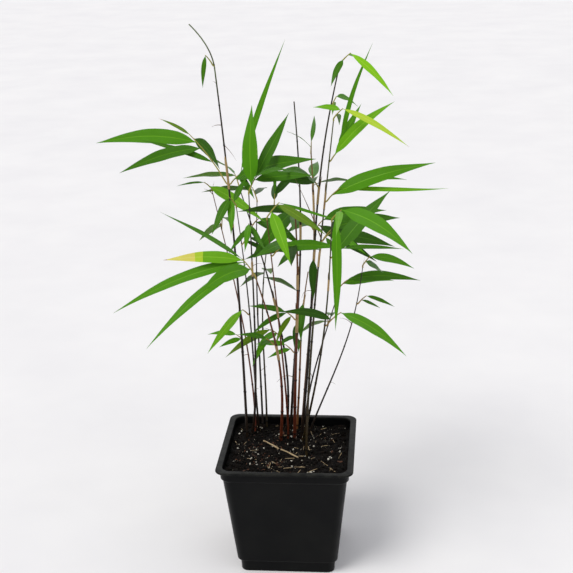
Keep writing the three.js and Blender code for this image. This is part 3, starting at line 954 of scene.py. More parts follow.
@dataclass
class Blade:
    """One leaf: a blade on a short stalk.

    Attributes:
        heading: Which way it points.
        rise: How far its tip stands above its base, in degrees from level.
        length: From base to tip.
        width: Its width, as a share of its length.
        arch: How far it bows upwards, as a share of its length.
        tone: Its colouring.
        yellowed: From this share on it has turned yellow.
        dried: From this share on it is dry and brown.
    """

    heading: float
    rise: float
    length: float
    width: float
    arch: float
    tone: LeafTone = LeafTone.FRESH
    yellowed: float = 1.0
    dried: float = 1.0

    THICK = 0.24
    FOLD = 0.24  # how steeply each half rises from the midrib
    SWAY = 0.06  # how far it bows sideways between one extreme and the other, as a share of length
    OUTLINE = (
        (0.0, 0.07),
        (0.03, 0.085),
        (0.06, 0.26),
        (0.12, 0.6),
        (0.2, 0.88),
        (0.33, 1.0),
        (0.48, 0.93),
        (0.66, 0.66),
        (0.82, 0.34),
        (0.93, 0.11),
        (1.0, 0.008),
    )
    # Places across a section, from one margin over the upper face and back along the underside.
    ACROSS = np.array([1, 0.66, 0.3, 0.05, -0.05, -0.3, -0.66, -1, -0.6, -0.05, 0.05, 0.6])
    UPPER = np.array([0, 1, 1, 1, 1, 1, 1, 0, -1, -1, -1, -1])
    LAYERS = np.array([0, 0, 0, 2, 0, 0, 0, 1, 1, 2, 1, 1])
    STATIONS = 26

    def spans(self) -> list[tuple[LeafTone, float, float]]:
        """Its stretches of one tone, each with the shares where it starts and ends."""
        yellow, dry = min(self.yellowed, self.dried), self.dried
        stretches = [(self.tone, 0.0, yellow - 0.1 if yellow < dry else yellow)]
        if yellow < dry:
            stretches += [(LeafTone.LIME, yellow - 0.1, yellow), (LeafTone.YELLOW, yellow, dry)]
        if dry < 1:
            stretches.append((LeafTone.DRY, dry, 1.0))
        return stretches

    def shapes(
        self, base: np.ndarray, faces: float, lean: float, random: Iterator[float]
    ) -> Iterator[tuple[LeafTone, Shape]]:
        """The leaf's stretches as closed shapes.

        The midrib arches from base to tip as a parabola, sways sideways by a sine and nods at its tip by
        a cube. A section across it is a thin lens, folded upwards from the midrib, that turns slowly
        along the blade and ripples at its margins.

        Args:
            base: Where it leaves its twig.
            faces: The heading that its upper face turns to.
            lean: How far the upper face turns from level, in degrees.
            random: The numbers that vary it.

        Yields:
            Each stretch's tone and shape.
        """
        sway, twist, ripple, phase, seed = (next(random) for _ in range(5))
        run = direction(self.heading, self.rise) * self.length
        along = unit(run)
        face = direction(faces, 90 - lean)
        over = unit(face - (face @ along) * along)
        side = np.cross(over, along)
        line = arched(base, run, self.arch)
        half = self.width * self.length / 2

        for tone, start, end in self.spans():
            half_turn = np.linspace(0.02, 0.985, self.STATIONS) * math.pi
            shares = start + (end - start) * (0.5 - 0.5 * np.cos(half_turn))
            centre = line(shares)
            aside = self.SWAY * (sway - 0.5)
            centre = centre + (aside * self.length * np.sin(math.pi * shares))[:, None] * side
            centre = centre - (0.02 * self.length * shares**3 * (1 - shares) * 4)[:, None] * UP
            tangent = unit(np.gradient(centre, axis=0))
            turn = math.radians(44) * (twist - 0.5) * (shares - 0.25)
            level = unit(side - (tangent @ side)[:, None] * tangent)
            raised = np.cross(tangent, level)
            flat = level * np.cos(turn)[:, None] + raised * np.sin(turn)[:, None]
            rise = np.cross(tangent, flat)
            wide = half * eased(shares, self.OUTLINE)
            out = wide[:, None] * self.ACROSS
            stalk = np.clip(1 - shares / 0.09, 0, 1)[:, None]
            thick = self.THICK * (0.35 + 0.65 * (1 - self.ACROSS**2)) * (1 + 1.6 * stalk)
            fold = self.FOLD * (0.5 + 0.8 * ripple) * np.abs(out) * (1 - 0.35 * np.abs(self.ACROSS))
            waves = 0.07 * wide[:, None] * self.ACROSS**2 * np.sin(
                2 * math.pi * (2.6 * shares[:, None] + phase) + 1.4 * np.sign(self.ACROSS)
            )
            lift = fold + waves + self.UPPER * thick / 2
            rings = centre[:, None] + out[..., None] * flat[:, None] + lift[..., None] * rise[:, None]
            surface = np.stack(
                [
                    np.broadcast_to(self.length * shares[:, None], out.shape),
                    out,
                    np.full(out.shape, seed),
                ],
                axis=-1,
            )
            first, last = rings[0].mean(0), rings[-1].mean(0) + tangent[-1] * 0.002 * self.length
            yield tone, swept(rings, first, last, surface, self.LAYERS)


class BladeKind(Enum):
    """The kinds of leaves: width and upward arch, as shares of the length."""

    BROAD = (0.2, 0.06)
    BLADE = (0.15, 0.05)
    NARROW = (0.085, 0.06)
    RIBBON = (0.045, 0.02)


class Habit(Enum):
    """How a leaf stands: the rise from its base to its tip, in degrees from level."""

    SPEAR = 70
    RISING = 42
    LIFTING = 18
    LEVEL = 0
    DROOPING = -22
    FALLING = -45
    HANGING = -78


def clock(hour: int) -> float:
    """The heading of an hour on a clock seen from above, with 12 at the back."""
    return 90.0 - 30.0 * hour


@dataclass
class Fan:
    """Leaves that stand together on a twig.

    The last leaf has the fan's hour, habit and size. The leaves before it stand in turn on its left
    and right, each pair back along the twig turned further out, sunk lower and shorter.

    Attributes:
        hour: Which way its last leaf points, on the clock.
        habit: How that leaf stands.
        size: How many size steps that leaf is over the smallest.
        kind: Its leaves' kind.
        count: How many leaves it has.
        tone: Its last leaf's colouring.
        back_leaves_tone: The other leaves' colouring, back along the twig, or nothing for the same. SHADE
            there is painted shade on leaves inside the crown.
        yellowed: From this share on its last leaf has turned yellow.
        dried: From this share on its last leaf is dry and brown.
    """

    hour: int
    habit: Habit
    size: int
    kind: BladeKind = BladeKind.BLADE
    count: int = 1
    tone: LeafTone = LeafTone.FRESH
    back_leaves_tone: LeafTone | None = None
    yellowed: float = 1.0
    dried: float = 1.0

    SMALLEST = 24.0
    SIZE_STEP = 1.35
    TURN = 35.0
    DROP = 8.0
    PAIR_TAPER = 0.88

    def blades(self) -> list[Blade]:
        """Its leaves, from the pair furthest back on the twig to the last one."""
        width, arch = self.kind.value
        leaves = []
        for back in reversed(range(self.count)):
            pair = (back + 1) // 2
            side = 1 if back % 2 else -1
            last = back == 0
            leaves.append(
                Blade(
                    heading=clock(self.hour) + side * pair * self.TURN,
                    rise=self.habit.value - pair * self.DROP,
                    length=self.SMALLEST * self.SIZE_STEP**self.size * self.PAIR_TAPER**pair,
                    width=width,
                    arch=arch,
                    tone=self.tone if last else self.back_leaves_tone or self.tone,
                    yellowed=self.yellowed if last else 1.0,
                    dried=self.dried if last else 1.0,
                )
            )
        return leaves


@dataclass
class Spray:
    """A twig and the leaves on it.

    Attributes:
        name: Its name in the part.
        cane: The culm that it grows from.
        fans: Its leaves, from the twig's base to its tip. The twig points the way of the last one.
        node: The node that it leaves the culm at, counted down from the tip, or 0 for the tip itself.
        twig: The twig's length, or 0 where it follows from the number of leaves.
        faces: The heading that the upper faces turn to.
        fine: Whether it is a small twig between the part's own sprays.
    """

    name: str
    cane: str
    fans: tuple[Fan, ...]
    node: int = 0
    twig: float = 0.0
    faces: float = 270.0
    fine: bool = False

    TWIG_RADIUS = 0.6
    TWIG_TIP = 0.42
    SAG = 0.04
    RISE = 45.0
    STEM = 4.0
    PER_LEAF = 2.5
    BARE = 0.4
    INTERNODE = 30.0
    LAST_LEAF = 0.97
    LEAN = 50.0
    LEAN_SPREAD = 14.0
    SIDES = 8

    @property
    def heading(self) -> float:
        """Which way the twig points: the way of its last leaf."""
        return clock(self.fans[-1].hour)

    def height(self, cane: Cane) -> float:
        """The height of its node on the culm."""
        return cane.height - self.node * self.INTERNODE

    def start(self, cane: Cane) -> np.ndarray:
        """Where the twig starts: just off the culm's side, or just past its tip."""
        if self.node == 0:
            tilt = self.TWIG_RADIUS * math.cos(math.radians(self.RISE))
            return np.array(cane.top, float) + UP * (GAP + tilt)
        centre, radius = cane.at(self.height(cane))
        return centre + direction(self.heading, 0) * (radius + GAP + self.TWIG_RADIUS)

    def grow(self, cane: Cane) -> tuple[Shape, list[tuple[LeafTone, Shape]]]:
        """Works out the twig and its leaves.

        Args:
            cane: The culm that it grows from.

        Returns:
            The twig, and the leaves with their tones.
        """
        leaves = [leaf for fan in self.fans for leaf in fan.blades()]
        length = self.twig or self.STEM + self.PER_LEAF * len(leaves)
        run = direction(self.heading, self.RISE) * length
        base = self.start(cane)
        line = arched(base, run, self.SAG)
        at_tip = self.node == 0
        root = np.array(cane.top, float) - UP if at_tip else cane.at(self.height(cane) - 0.8)[0]
        path = through(np.vstack([root, line(np.linspace(0, 1, 5))]), np.linspace(0, 1, 14))
        radii = np.linspace(self.TWIG_RADIUS * 1.05, self.TWIG_TIP * 0.8, len(path))
        across = unit(np.array([-run[1], run[0], 0.0]) + np.array([TINY, 0, 0]))
        twig = tube(path, radii, self.SIDES, across)

        random, variety = seeded(self.name), seeded(self.name + "_variety")
        count, blades = len(leaves), []
        for index, leaf in enumerate(leaves):
            crowded = math.sqrt(index / max(count - 1, 1))
            bare = self.BARE if count > 1 else 1.0
            share = (bare + (1 - bare) * crowded) * self.LAST_LEAF
            lean = self.LEAN + self.LEAN_SPREAD * (2 * next(random) - 1)
            blades += leaf.shapes(line(np.array([share]))[0], self.faces, lean, variety)
        return twig, blades


FRESH, BRIGHT, VIVID, DEEP = LeafTone.FRESH, LeafTone.BRIGHT, LeafTone.VIVID, LeafTone.DEEP
SHADE, OLIVE, LIME = LeafTone.SHADE, LeafTone.OLIVE, LeafTone.LIME
BROAD, NARROW, RIBBON = BladeKind.BROAD, BladeKind.NARROW, BladeKind.RIBBON
SPEAR, RISING, LIFTING, LEVEL = Habit.SPEAR, Habit.RISING, Habit.LIFTING, Habit.LEVEL
DROOPING, FALLING, HANGING = Habit.DROOPING, Habit.FALLING, Habit.HANGING

CANES = (
    Cane("tall_left", 416, (150, 40), (4, 0.5), 1.0, CaneTone.TALL, ((292, 26), (262, 16)), nod=15),
    Cane("thin_left", 280, (125, 60), (6, 0.4), 0.7, CaneTone.RED),
    Cane("green_left", 285, (250, 25), (2, 0.6), 0.75, CaneTone.DARK),
    Cane("slim_left", 270, (95, 45), (-2, 0.6), 0.8, CaneTone.DARK),
    Cane("front_left", 300, (285, 35), (4, 0.3), 0.9, CaneTone.DARK, ((232, 14),)),
    Cane("back_lean", 260, (85, 60), (-7, 0.6), 0.75, CaneTone.OLIVE),
    Cane("brown_low", 245, (260, 55), (8, 0.5), 1.1, CaneTone.RED, ((170, 22),)),
    Cane("dark_lean", 285, (135, 50), (12, 0.4), 0.9, CaneTone.DARK, ((188, 14),)),
    Cane("front_thin", 290, (265, 60), (2, 0.3), 0.8, CaneTone.RED, ((206, 16),)),
    Cane("spike", 360, (330, 10), (6, 0.6), 1.0, CaneTone.DARK, ((252, 20),)),
    Cane("brown_pair", 290, (280, 45), (2, 0.7), 1.2, CaneTone.RED, ((188, 26), (226, 20))),
    Cane("stub", 230, (310, 20), (-2, 0.7), 0.9, CaneTone.TAN, ((196, 16),)),
    Cane("broad_brown", 310, (80, 45), (5, 0.6), 1.15, CaneTone.TAN, ((262, 24), (206, 18))),
    Cane("tall_right", 388, (350, 34), (-6, 0.7), 1.05, CaneTone.DARK, ((284, 22), (236, 16))),
    Cane("front_right", 295, (290, 85), (5, 0.5), 0.85, CaneTone.OLIVE, ((236, 16),)),
    Cane("mid_right", 200, (50, 40), (-6, 0.3), 0.75, CaneTone.DARK),
    Cane("outer_right", 230, (10, 45), (6, 0.6), 0.7, CaneTone.DARK),
    Cane("second_right", 350, (40, 30), (-3, 0.4), 0.9, CaneTone.OLIVE, ((240, 18), (284, 20))),
)

SPRAYS = (
    Spray("hook", "tall_left", (Fan(7, HANGING, 0, tone=DEEP),), node=1, twig=12),
    Spray(
        "upper_left", "tall_left",
        (
            Fan(9, LIFTING, 3, NARROW, tone=DEEP),
            Fan(9, LEVEL, 4, count=2, tone=FRESH, back_leaves_tone=DEEP),
            Fan(1, FALLING, 2, BROAD, tone=DEEP),
            Fan(10, LIFTING, 1, NARROW, tone=OLIVE, dried=0.9),
        ),
        node=4, twig=50,
    ),
    Spray(
        "tall_left_mid", "tall_left",
        (
            Fan(4, LIFTING, 4, BROAD, tone=DEEP),
            Fan(5, DROOPING, 1, tone=DEEP),
            Fan(3, SPEAR, 5, RIBBON),
        ),
        node=4,
    ),
    Spray(
        "thin_left_tip", "thin_left",
        (Fan(4, DROOPING, 3, tone=BRIGHT), Fan(8, LEVEL, 0, NARROW, tone=DEEP)),
    ),
    Spray("thin_left_back", "thin_left", (Fan(12, DROOPING, 3, count=2, tone=DEEP),), node=1, faces=90),
    Spray("low_left", "thin_left", (Fan(9, LEVEL, 0, BROAD, count=2),), node=4),
    Spray(
        "inner_left", "green_left",
        (Fan(1, RISING, 0, BROAD, tone=DEEP), Fan(7, FALLING, 1, BROAD, count=2, tone=DEEP, back_leaves_tone=FRESH)),
    ),
    Spray("left_low", "green_left", (Fan(8, FALLING, 2, tone=BRIGHT),), node=3),
    Spray("slim_back", "slim_left", (Fan(11, LEVEL, 3, count=3, tone=DEEP, back_leaves_tone=SHADE),), faces=90),
    Spray("slim_low", "slim_left", (Fan(12, DROOPING, 2, NARROW, tone=DEEP),), node=3, faces=90),
    Spray(
        "spears", "front_left",
        (
            Fan(12, SPEAR, 3, BROAD),
            Fan(5, LIFTING, 3, count=2, tone=DEEP),
            Fan(1, RISING, 3, tone=DEEP),
        ),
    ),
    Spray(
        "pale_tip", "back_lean",
        (Fan(1, LIFTING, 2, count=2, tone=SHADE), Fan(12, SPEAR, 1, NARROW, tone=DEEP)),
    ),
    Spray(
        "back_low", "back_lean",
        (Fan(12, DROOPING, 3, count=3, tone=DEEP, back_leaves_tone=SHADE),),
        node=2, faces=90,
    ),
    Spray(
        "left_mid", "brown_low",
        (
            Fan(7, LEVEL, 3, BROAD, tone=FRESH),
            Fan(9, DROOPING, 5, NARROW, count=2),
            Fan(9, LEVEL, 3, tone=BRIGHT, yellowed=0.6, dried=0.95),
            Fan(10, LIFTING, 4, RIBBON, tone=DEEP),
        ),
    ),
    Spray("dark_back", "dark_lean", (Fan(11, LEVEL, 3, count=3, tone=DEEP),), faces=90),
    Spray(
        "low_front", "dark_lean",
        (Fan(7, LEVEL, 0, BROAD, tone=FRESH), Fan(8, DROOPING, 2, count=2, tone=OLIVE, back_leaves_tone=FRESH)),
        node=4,
    ),
    Spray(
        "front_fan", "front_thin",
        (
            Fan(5, FALLING, 2, BROAD, tone=BRIGHT),
            Fan(4, DROOPING, 2, count=2, tone=OLIVE, back_leaves_tone=DEEP),
            Fan(2, DROOPING, 3, RIBBON, tone=FRESH),
        ),
    ),
    Spray(
        "spike_mass", "spike",
        (
            Fan(6, LEVEL, 2, BROAD, tone=DEEP),
            Fan(9, LEVEL, 2, tone=SHADE),
            Fan(7, DROOPING, 3, BROAD, tone=DEEP),
        ),
        node=3,
    ),
    Spray("low_hang", "spike", (Fan(6, FALLING, 0, BROAD, tone=SHADE),), node=6),
    Spray(
        "low_centre", "brown_pair",
        (Fan(8, DROOPING, 1, count=2, tone=DEEP, back_leaves_tone=OLIVE), Fan(8, LIFTING, 1, tone=DEEP)),
        node=3,
    ),
    Spray("stub_side", "stub", (Fan(6, FALLING, 1, BROAD, tone=DEEP),), node=1),
    Spray(
        "brown_side", "broad_brown",
        (Fan(11, LEVEL, 2, tone=DEEP), Fan(7, LEVEL, 1, BROAD, tone=DEEP)),
        node=2,
    ),
    Spray(
        "brown_mass", "broad_brown",
        (Fan(4, DROOPING, 3, tone=SHADE), Fan(2, LEVEL, 3, BROAD, tone=DEEP)),
        node=2,
    ),
    Spray(
        "broad_back", "broad_brown",
        (Fan(12, LEVEL, 3, count=3, tone=DEEP, back_leaves_tone=SHADE),),
        node=1, faces=90,
    ),
    Spray("broad_top", "broad_brown", (Fan(12, LIFTING, 2, NARROW, count=2, tone=DEEP),), faces=90),
    Spray(
        "tall_right_tip", "tall_right",
        (
            Fan(7, FALLING, 0, BROAD, tone=DEEP),
            Fan(1, DROOPING, 1, tone=FRESH),
            Fan(3, FALLING, 2, tone=VIVID),
        ),
    ),
    Spray(
        "tall_right_neck", "tall_right",
        (Fan(1, DROOPING, 1, count=2, tone=FRESH, back_leaves_tone=BRIGHT),),
        node=1,
    ),
    Spray("hanging", "tall_right", (Fan(6, HANGING, 1, BROAD, tone=SHADE),), node=5),
    Spray(
        "front_right_top", "front_right",
        (
            Fan(6, HANGING, 4, NARROW, tone=FRESH),
            Fan(6, LEVEL, 3, NARROW, tone=BRIGHT),
            Fan(4, DROOPING, 3, BROAD, tone=FRESH),
        ),
    ),
    Spray(
        "front_right_mid", "front_right",
        (Fan(2, RISING, 3, BROAD, tone=DEEP), Fan(3, LEVEL, 2, NARROW, tone=DEEP)),
        node=1,
    ),
    Spray(
        "low_right", "front_right",
        (Fan(8, LIFTING, 2, tone=SHADE), Fan(4, DROOPING, 3, tone=FRESH)),
        node=3, twig=18,
    ),
    Spray("mid_right_tip", "mid_right", (Fan(3, LEVEL, 3, count=2, tone=DEEP, back_leaves_tone=FRESH),)),
    Spray("mid_back", "mid_right", (Fan(12, DROOPING, 3, count=2, tone=DEEP),), node=1, faces=90),
    Spray("outer_right_tip", "outer_right", (Fan(2, DROOPING, 2, count=2, tone=FRESH, back_leaves_tone=DEEP),)),
    Spray(
        "second_right_tip", "second_right",
        (
            Fan(12, DROOPING, 2, NARROW, tone=DEEP),
            Fan(10, LEVEL, 0, BROAD, tone=BRIGHT),
            Fan(4, DROOPING, 3, NARROW, tone=LIME, dried=0.97),
        ),
    ),
    Spray(
        "uprights", "second_right",
        (
            Fan(3, RISING, 3, tone=BRIGHT),
            Fan(1, RISING, 2, tone=FRESH),
            Fan(2, SPEAR, 4, RIBBON, tone=FRESH),
        ),
        node=1,
    ),
    Spray(
        "right_mass", "second_right",
        (Fan(2, LEVEL, 3, BROAD, count=3, tone=DEEP, back_leaves_tone=SHADE),),
        node=3,
    ),
    Spray(
        "long_right", "second_right",
        (
            Fan(3, LIFTING, 4),
            Fan(2, LEVEL, 3, NARROW, count=2, tone=FRESH, back_leaves_tone=DEEP),
            Fan(3, LEVEL, 4, RIBBON, tone=BRIGHT),
        ),
        node=2,
    ),
    # Small twigs between the part's own sprays, where the crown is densest.
    Spray("heart_left", "front_left", (Fan(6, DROOPING, 1, count=3, back_leaves_tone=DEEP),), node=1, fine=True),
    Spray("heart_fan", "front_thin", (Fan(3, LEVEL, 2, BROAD, count=2, back_leaves_tone=DEEP),), node=1, fine=True),
    Spray("heart_drop", "dark_lean", (Fan(4, DROOPING, 2, BROAD, count=2, tone=DEEP),), node=1, fine=True),
    Spray("heart_low", "green_left", (Fan(4, DROOPING, 0, count=2, tone=SHADE),), node=1, fine=True),
    Spray(
        "heart_mid", "brown_pair",
        (Fan(7, LEVEL, 2, BROAD, count=3, tone=DEEP, back_leaves_tone=SHADE),),
        node=1, fine=True,
    ),
    Spray(
        "heart_right", "tall_right",
        (Fan(7, LIFTING, 2, BROAD, count=3, tone=DEEP, back_leaves_tone=SHADE),),
        node=3, fine=True,
    ),
    Spray("spike_side", "spike", (Fan(8, LEVEL, 1, BROAD, count=2, tone=DEEP),), node=4, fine=True),
    Spray("right_inner", "second_right", (Fan(4, DROOPING, 1, count=3, back_leaves_tone=DEEP),), node=3, fine=True),
    Spray("low_tuft", "brown_low", (Fan(8, LIFTING, 0, BROAD, count=2, tone=DEEP),), node=2, fine=True),
    Spray("low_inner", "stub", (Fan(7, LEVEL, 0, count=2, tone=DEEP),), node=2, fine=True),
    Spray("red_tuft", "brown_pair", (Fan(9, LEVEL, 0, BROAD, count=2),), node=4, fine=True),
    Spray("right_low", "outer_right", (Fan(3, DROOPING, 0, count=2, tone=DEEP),), node=1, fine=True),
)


@dataclass(frozen=True)
class DryTwig:
    """A small dead side twig, or the bare end of one.

    Attributes:
        cane: The culm that it stands on.
        height: Where it leaves the culm.
        heading: Which way it points.
        rise: How steeply, in degrees from level.
        length: From base to end.
        arch: How far it bows upwards, as a share of its length.
        radius: Its radius at the base.
    """

    cane: str
    height: float
    heading: float
    rise: float
    length: float
    arch: float = 0.1
    radius: float = 0.32

    def shape(self, cane: Cane) -> Shape:
        """The twig: a tapering tube along its parabola, from inside the culm to a point."""
        centre, _ = cane.at(self.height)
        line = arched(centre, direction(self.heading, self.rise) * self.length, self.arch)
        shares = np.linspace(0, 1, 14)
        knots = 1 + 0.3 * np.exp(-(((shares - 0.5) / 0.05) ** 2))
        turn = math.radians(self.heading)
        across = np.array([-math.sin(turn), math.cos(turn), 0.0])
        return tube(line(shares), self.radius * (1 - 0.8 * shares) * knots, 6, across)


DRY_TWIGS = (
    DryTwig("tall_left", 341, 188, -8, 8),
    DryTwig("tall_left", 368, 150, 55, 7, 0.25),
    DryTwig("tall_left", 326, 350, -52, 15, 0.04, 0.24),
    DryTwig("thin_left", 276, 196, 38, 9),
    DryTwig("thin_left", 278, 40, 76, 9, 0.05, 0.24),
    DryTwig("tall_left", 240, 188, -16, 11, 0.05, 0.26),
    DryTwig("tall_left", 229, 190, -18, 10, 0.05, 0.26),
    DryTwig("front_left", 240, 8, 10, 9, 0.2, 0.22),
    DryTwig("tall_right", 214, 205, -28, 10, 0.3, 0.28),
    DryTwig("thin_left", 150, 196, -14, 6),
    DryTwig("green_left", 147, 60, 48, 7, 0.02),
    DryTwig("slim_left", 134, 22, 32, 7, 0.02, 0.24),
    DryTwig("brown_pair", 146, 188, -12, 15, 0.24, 0.36),
    DryTwig("green_left", 127, 320, 10, 4, 0.2, 0.24),
    DryTwig("outer_right", 130, 340, 24, 7, 0.35, 0.2),
    DryTwig("outer_right", 183, 180, 26, 11, 0.12, 0.26),
    DryTwig("outer_right", 226, 60, 70, 11, 0.02, 0.24),
    DryTwig("second_right", 262, 182, 68, 50, 0.01, 0.5),
    DryTwig("broad_brown", 305, 100, 86, 20, 0.02, 0.3),
    DryTwig("brown_low", 196, 200, 30, 9, 0.1, 0.28),
    DryTwig("dark_lean", 140, 100, 30, 8),
    DryTwig("broad_brown", 150, 80, 20, 10),
    DryTwig("mid_right", 128, 120, 25, 8, 0.2),
)


@dataclass
class Clump:
    """Everything that grows: the culms, their sheaths and dry twigs, and the sprays."""

    canes: Sequence[Cane]
    sprays: Sequence[Spray]
    dry_twigs: Sequence[DryTwig]

    def __post_init__(self) -> None:
        """Tells each culm where twigs leave it."""
        self.by_name = {cane.name: cane for cane in self.canes}
        for spray in self.sprays:
            if spray.node:
                host = self.by_name[spray.cane]
                host.twig_heights.append(spray.height(host))

    def build_canes(self) -> None:
        """Makes a piece of the culms of each tone."""
        for tone in CaneTone:
            canes = [cane for cane in self.canes if cane.tone is tone]
            if canes:
                shape = Shape.joined([cane.shape() for cane in canes])
                nodes = [f"culm_{cane.name}" for cane in canes]
                make_piece(tone.value.name + "s", shape, [tone.value.make()], nodes)

    def build_husks(self) -> None:
        """Makes the papery sheaths and the dry side twigs."""
        sheath = DryHusk("sheath_paper", paint(172, 144, 96), paint(104, 66, 36))
        shapes = [cane.husk(foot, length) for cane in self.canes for foot, length in cane.husks]
        make_piece("sheaths", Shape.joined(shapes), [sheath.make()])
        twig = DryHusk("dry_twig", paint(104, 78, 48), paint(48, 34, 22))
        shapes = [row.shape(self.by_name[row.cane]) for row in self.dry_twigs]
        make_piece("dry_twigs", Shape.joined(shapes), [twig.make()])

    def build_sprays(self) -> None:
        """Makes the twigs, and a piece of the leaves of each tone."""
        twigs = []
        blades: dict[LeafTone, list[Shape]] = {tone: [] for tone in LeafTone}
        hosts: dict[LeafTone, set[str]] = {tone: set() for tone in LeafTone}
        for spray in self.sprays:
            twig, leaves = spray.grow(self.by_name[spray.cane])
            twigs.append(twig)
            for tone, shape in leaves:
                blades[tone].append(shape)
                if not spray.fine:
                    hosts[tone].add(f"spray_{spray.name}")
        every = [f"spray_{spray.name}" for spray in self.sprays if not spray.fine]
        tints = [(160, 118, 70), (150, 150, 60), (112, 78, 42), (100, 62, 36)]
        skin = CaneSkin("twig_skin", *(paint(*tint) for tint in tints))
        make_piece("twigs", Shape.joined(twigs), [skin.make()], every)
        for tone, shapes in blades.items():
            if not shapes:
                continue
            word = tone.name.lower()
            upper, under, rib = tone.value
            finishes = [
                BladeSkin(f"leaf_{word}_upper", upper).make(),
                BladeSkin(f"leaf_{word}_under", under, gloss=(0.46, 0.62)).make(),
                BladeSkin(f"leaf_{word}_rib", rib, rib_depth=0.02).make(),
            ]
            make_piece(f"leaves_{word}", Shape.joined(shapes), finishes, sorted(hosts[tone]))

    def build(self) -> None:
        """Makes all its pieces."""
        self.build_canes()
        self.build_husks()
        self.build_sprays()


# ---- the potting mix ----------------------------------------------------------------------------
@dataclass
class MixBed:
    """The potting mix: a rolling, crumbly top, with grains, bark, peat and straw lying on it."""

    pot: NurseryPot
    feet: np.ndarray
    lump: float = 1.1
    level: tuple[float, float] = (12.0, 20.0)
    long_wave: tuple[float, float] = (0.31, 0.27)
    short_wave: tuple[float, float] = (0.73, 0.52)
    side_steps: int = 56
    rings: int = 58

    def height(self, x: np.ndarray, y: np.ndarray) -> np.ndarray:
        """The bed's height without its crumb.

        Two cosines make long waves and a slanting sine makes short ones. They fade to a level top near
        every culm's foot.

        Args:
            x: Places across.
            y: Places deep.

        Returns:
            The height at each place.
        """
        nearest = np.min(np.hypot(x[..., None] - self.feet[:, 0], y[..., None] - self.feet[:, 1]), axis=-1)
        free = np.clip((nearest - self.level[0]) / (self.level[1] - self.level[0]), 0, 1)
        free = free * free * (3 - 2 * free)
        waves = 2 * np.cos(x * self.long_wave[0]) * np.cos(y * self.long_wave[1])
        waves = waves + np.sin(x * self.short_wave[0] - y * self.short_wave[1])
        return MIX_TOP + self.lump * free * waves / 3

    def crumbly(self, x: np.ndarray, y: np.ndarray) -> np.ndarray:
        """The height with three sizes of crumb on it."""
        fine = 0.75 * grain(x, y, 4.2, 11) + 0.5 * grain(x, y, 1.9, 12) + 0.3 * grain(x, y, 0.9, 13)
        return self.height(x, y) + fine

    @property
    def edge(self) -> float:
        """Half the bed's width."""
        return self.pot.collar_half - self.pot.wall - GAP

    def bed(self) -> Shape:
        """The bed as one skin: up beside the wall, then inwards over the top in shrinking squares."""
        square = NurseryPot(corner_steps=16, side_steps=self.side_steps, bulge=0)
        levels = np.array(self.pot.inner_levels(self.pot.wall + GAP, self.pot.floor + GAP))
        sides = square.rounded_square(levels[:, 0], levels[:, 1])
        shares = np.linspace(1, 0.02, self.rings)
        top = square.rounded_square(self.edge * shares, np.zeros(self.rings))
        top[..., 2] = self.crumbly(top[..., 0], top[..., 1])
        centre = self.crumbly(np.zeros(1), np.zeros(1))[0]
        rings = np.concatenate([sides, top])
        floor = np.array([0.0, 0.0, self.pot.floor + GAP])
        return swept(rings, floor, np.array([0.0, 0.0, centre]))

    def spots(
        self, random: np.random.Generator, count: int, drifts: Sequence[tuple[float, float, float]]
    ) -> np.ndarray:
        """Random places on the bed, half of them gathered in drifts.

        Args:
            random: The generator.
            count: How many.
            drifts: Each drift's X, Y and spread. With none, all the places are even.

        Returns:
            (count, 2) places.
        """
        reach = self.edge - 3
        even = random.uniform(-reach, reach, (count, 2))
        if drifts:
            rows = np.array(drifts)[random.integers(0, len(drifts), count)]
            gathered = rows[:, :2] + random.normal(0, 1, (count, 2)) * rows[:, 2:]
            even = np.where((random.uniform(0, 1, count) < 0.55)[:, None], gathered, even)
        return np.clip(even, -reach, reach)

    def scatter(
        self,
        name: str,
        count: int,
        sizes: tuple[float, float],
        stretch: Colour,
        drifts: Sequence[tuple[float, float, float]] = (),
        sunk: float = 0.2,
    ) -> Shape:
        """Many small faceted lumps lying on the bed.

        Each is a twenty-faced solid whose corners move in and out at random. It is stretched along its own
        axes, turned at random and set down.

        Args:
            name: What the random numbers start from.
            count: How many lumps.
            sizes: The smallest and largest half width.
            stretch: How each axis is stretched.
            drifts: Where they gather.
            sunk: How far each lies in the bed, as a share of its size.

        Returns:
            All the lumps as one shape.
        """
        golden = (1 + math.sqrt(5)) / 2
        base = [(0, a, b * golden) for a in (-1, 1) for b in (-1, 1)]
        corners = np.array([np.roll(corner, turn) for turn in range(3) for corner in base])
        corners = corners / np.linalg.norm(corners[0])
        apart = np.linalg.norm(corners[:, None] - corners, axis=-1)
        near = apart < 1.1
        tris = np.array(
            [
                (a, b, c)
                for a in range(12)
                for b in range(a + 1, 12)
                for c in range(b + 1, 12)
                if near[a, b] and near[b, c] and near[a, c]
            ]
        )
        first, second, third = (corners[tris[:, place]] for place in range(3))
        normal = np.cross(second - first, third - first)
        inward = (normal * corners[tris[:, 0]]).sum(1) < 0
        tris[inward] = tris[inward][:, ::-1]

        random = generator(name)
        size = sizes[0] + (sizes[1] - sizes[0]) * random.uniform(0, 1, count) ** 2
        lumps = corners * random.uniform(0.7, 1.2, (count, 12, 1)) * np.array(stretch)
        axis = unit(random.normal(0, 1, (count, 3)) + np.array([0, 0, 1.2]))
        turn = random.uniform(0, 2 * math.pi, count)[:, None, None]
        axis = axis[:, None]
        turned = lumps * np.cos(turn) + np.cross(axis, lumps) * np.sin(turn)
        turned = turned + axis * (axis * lumps).sum(-1, keepdims=True) * (1 - np.cos(turn))
        spot = self.spots(random, count, drifts)
        high = self.crumbly(spot[:, 0], spot[:, 1]) + size * min(stretch) * (1 - sunk)
        points = turned * size[:, None, None] + np.column_stack([spot, high])[:, None]
        faces = (np.arange(count)[:, None, None] * 12 + tris).reshape(-1, 3)
        return Shape(
            points.reshape(-1, 3),
            np.zeros((0, 4), int),
            faces,
            np.zeros((count * 12, 3)),
            np.zeros(len(faces), int),
        )

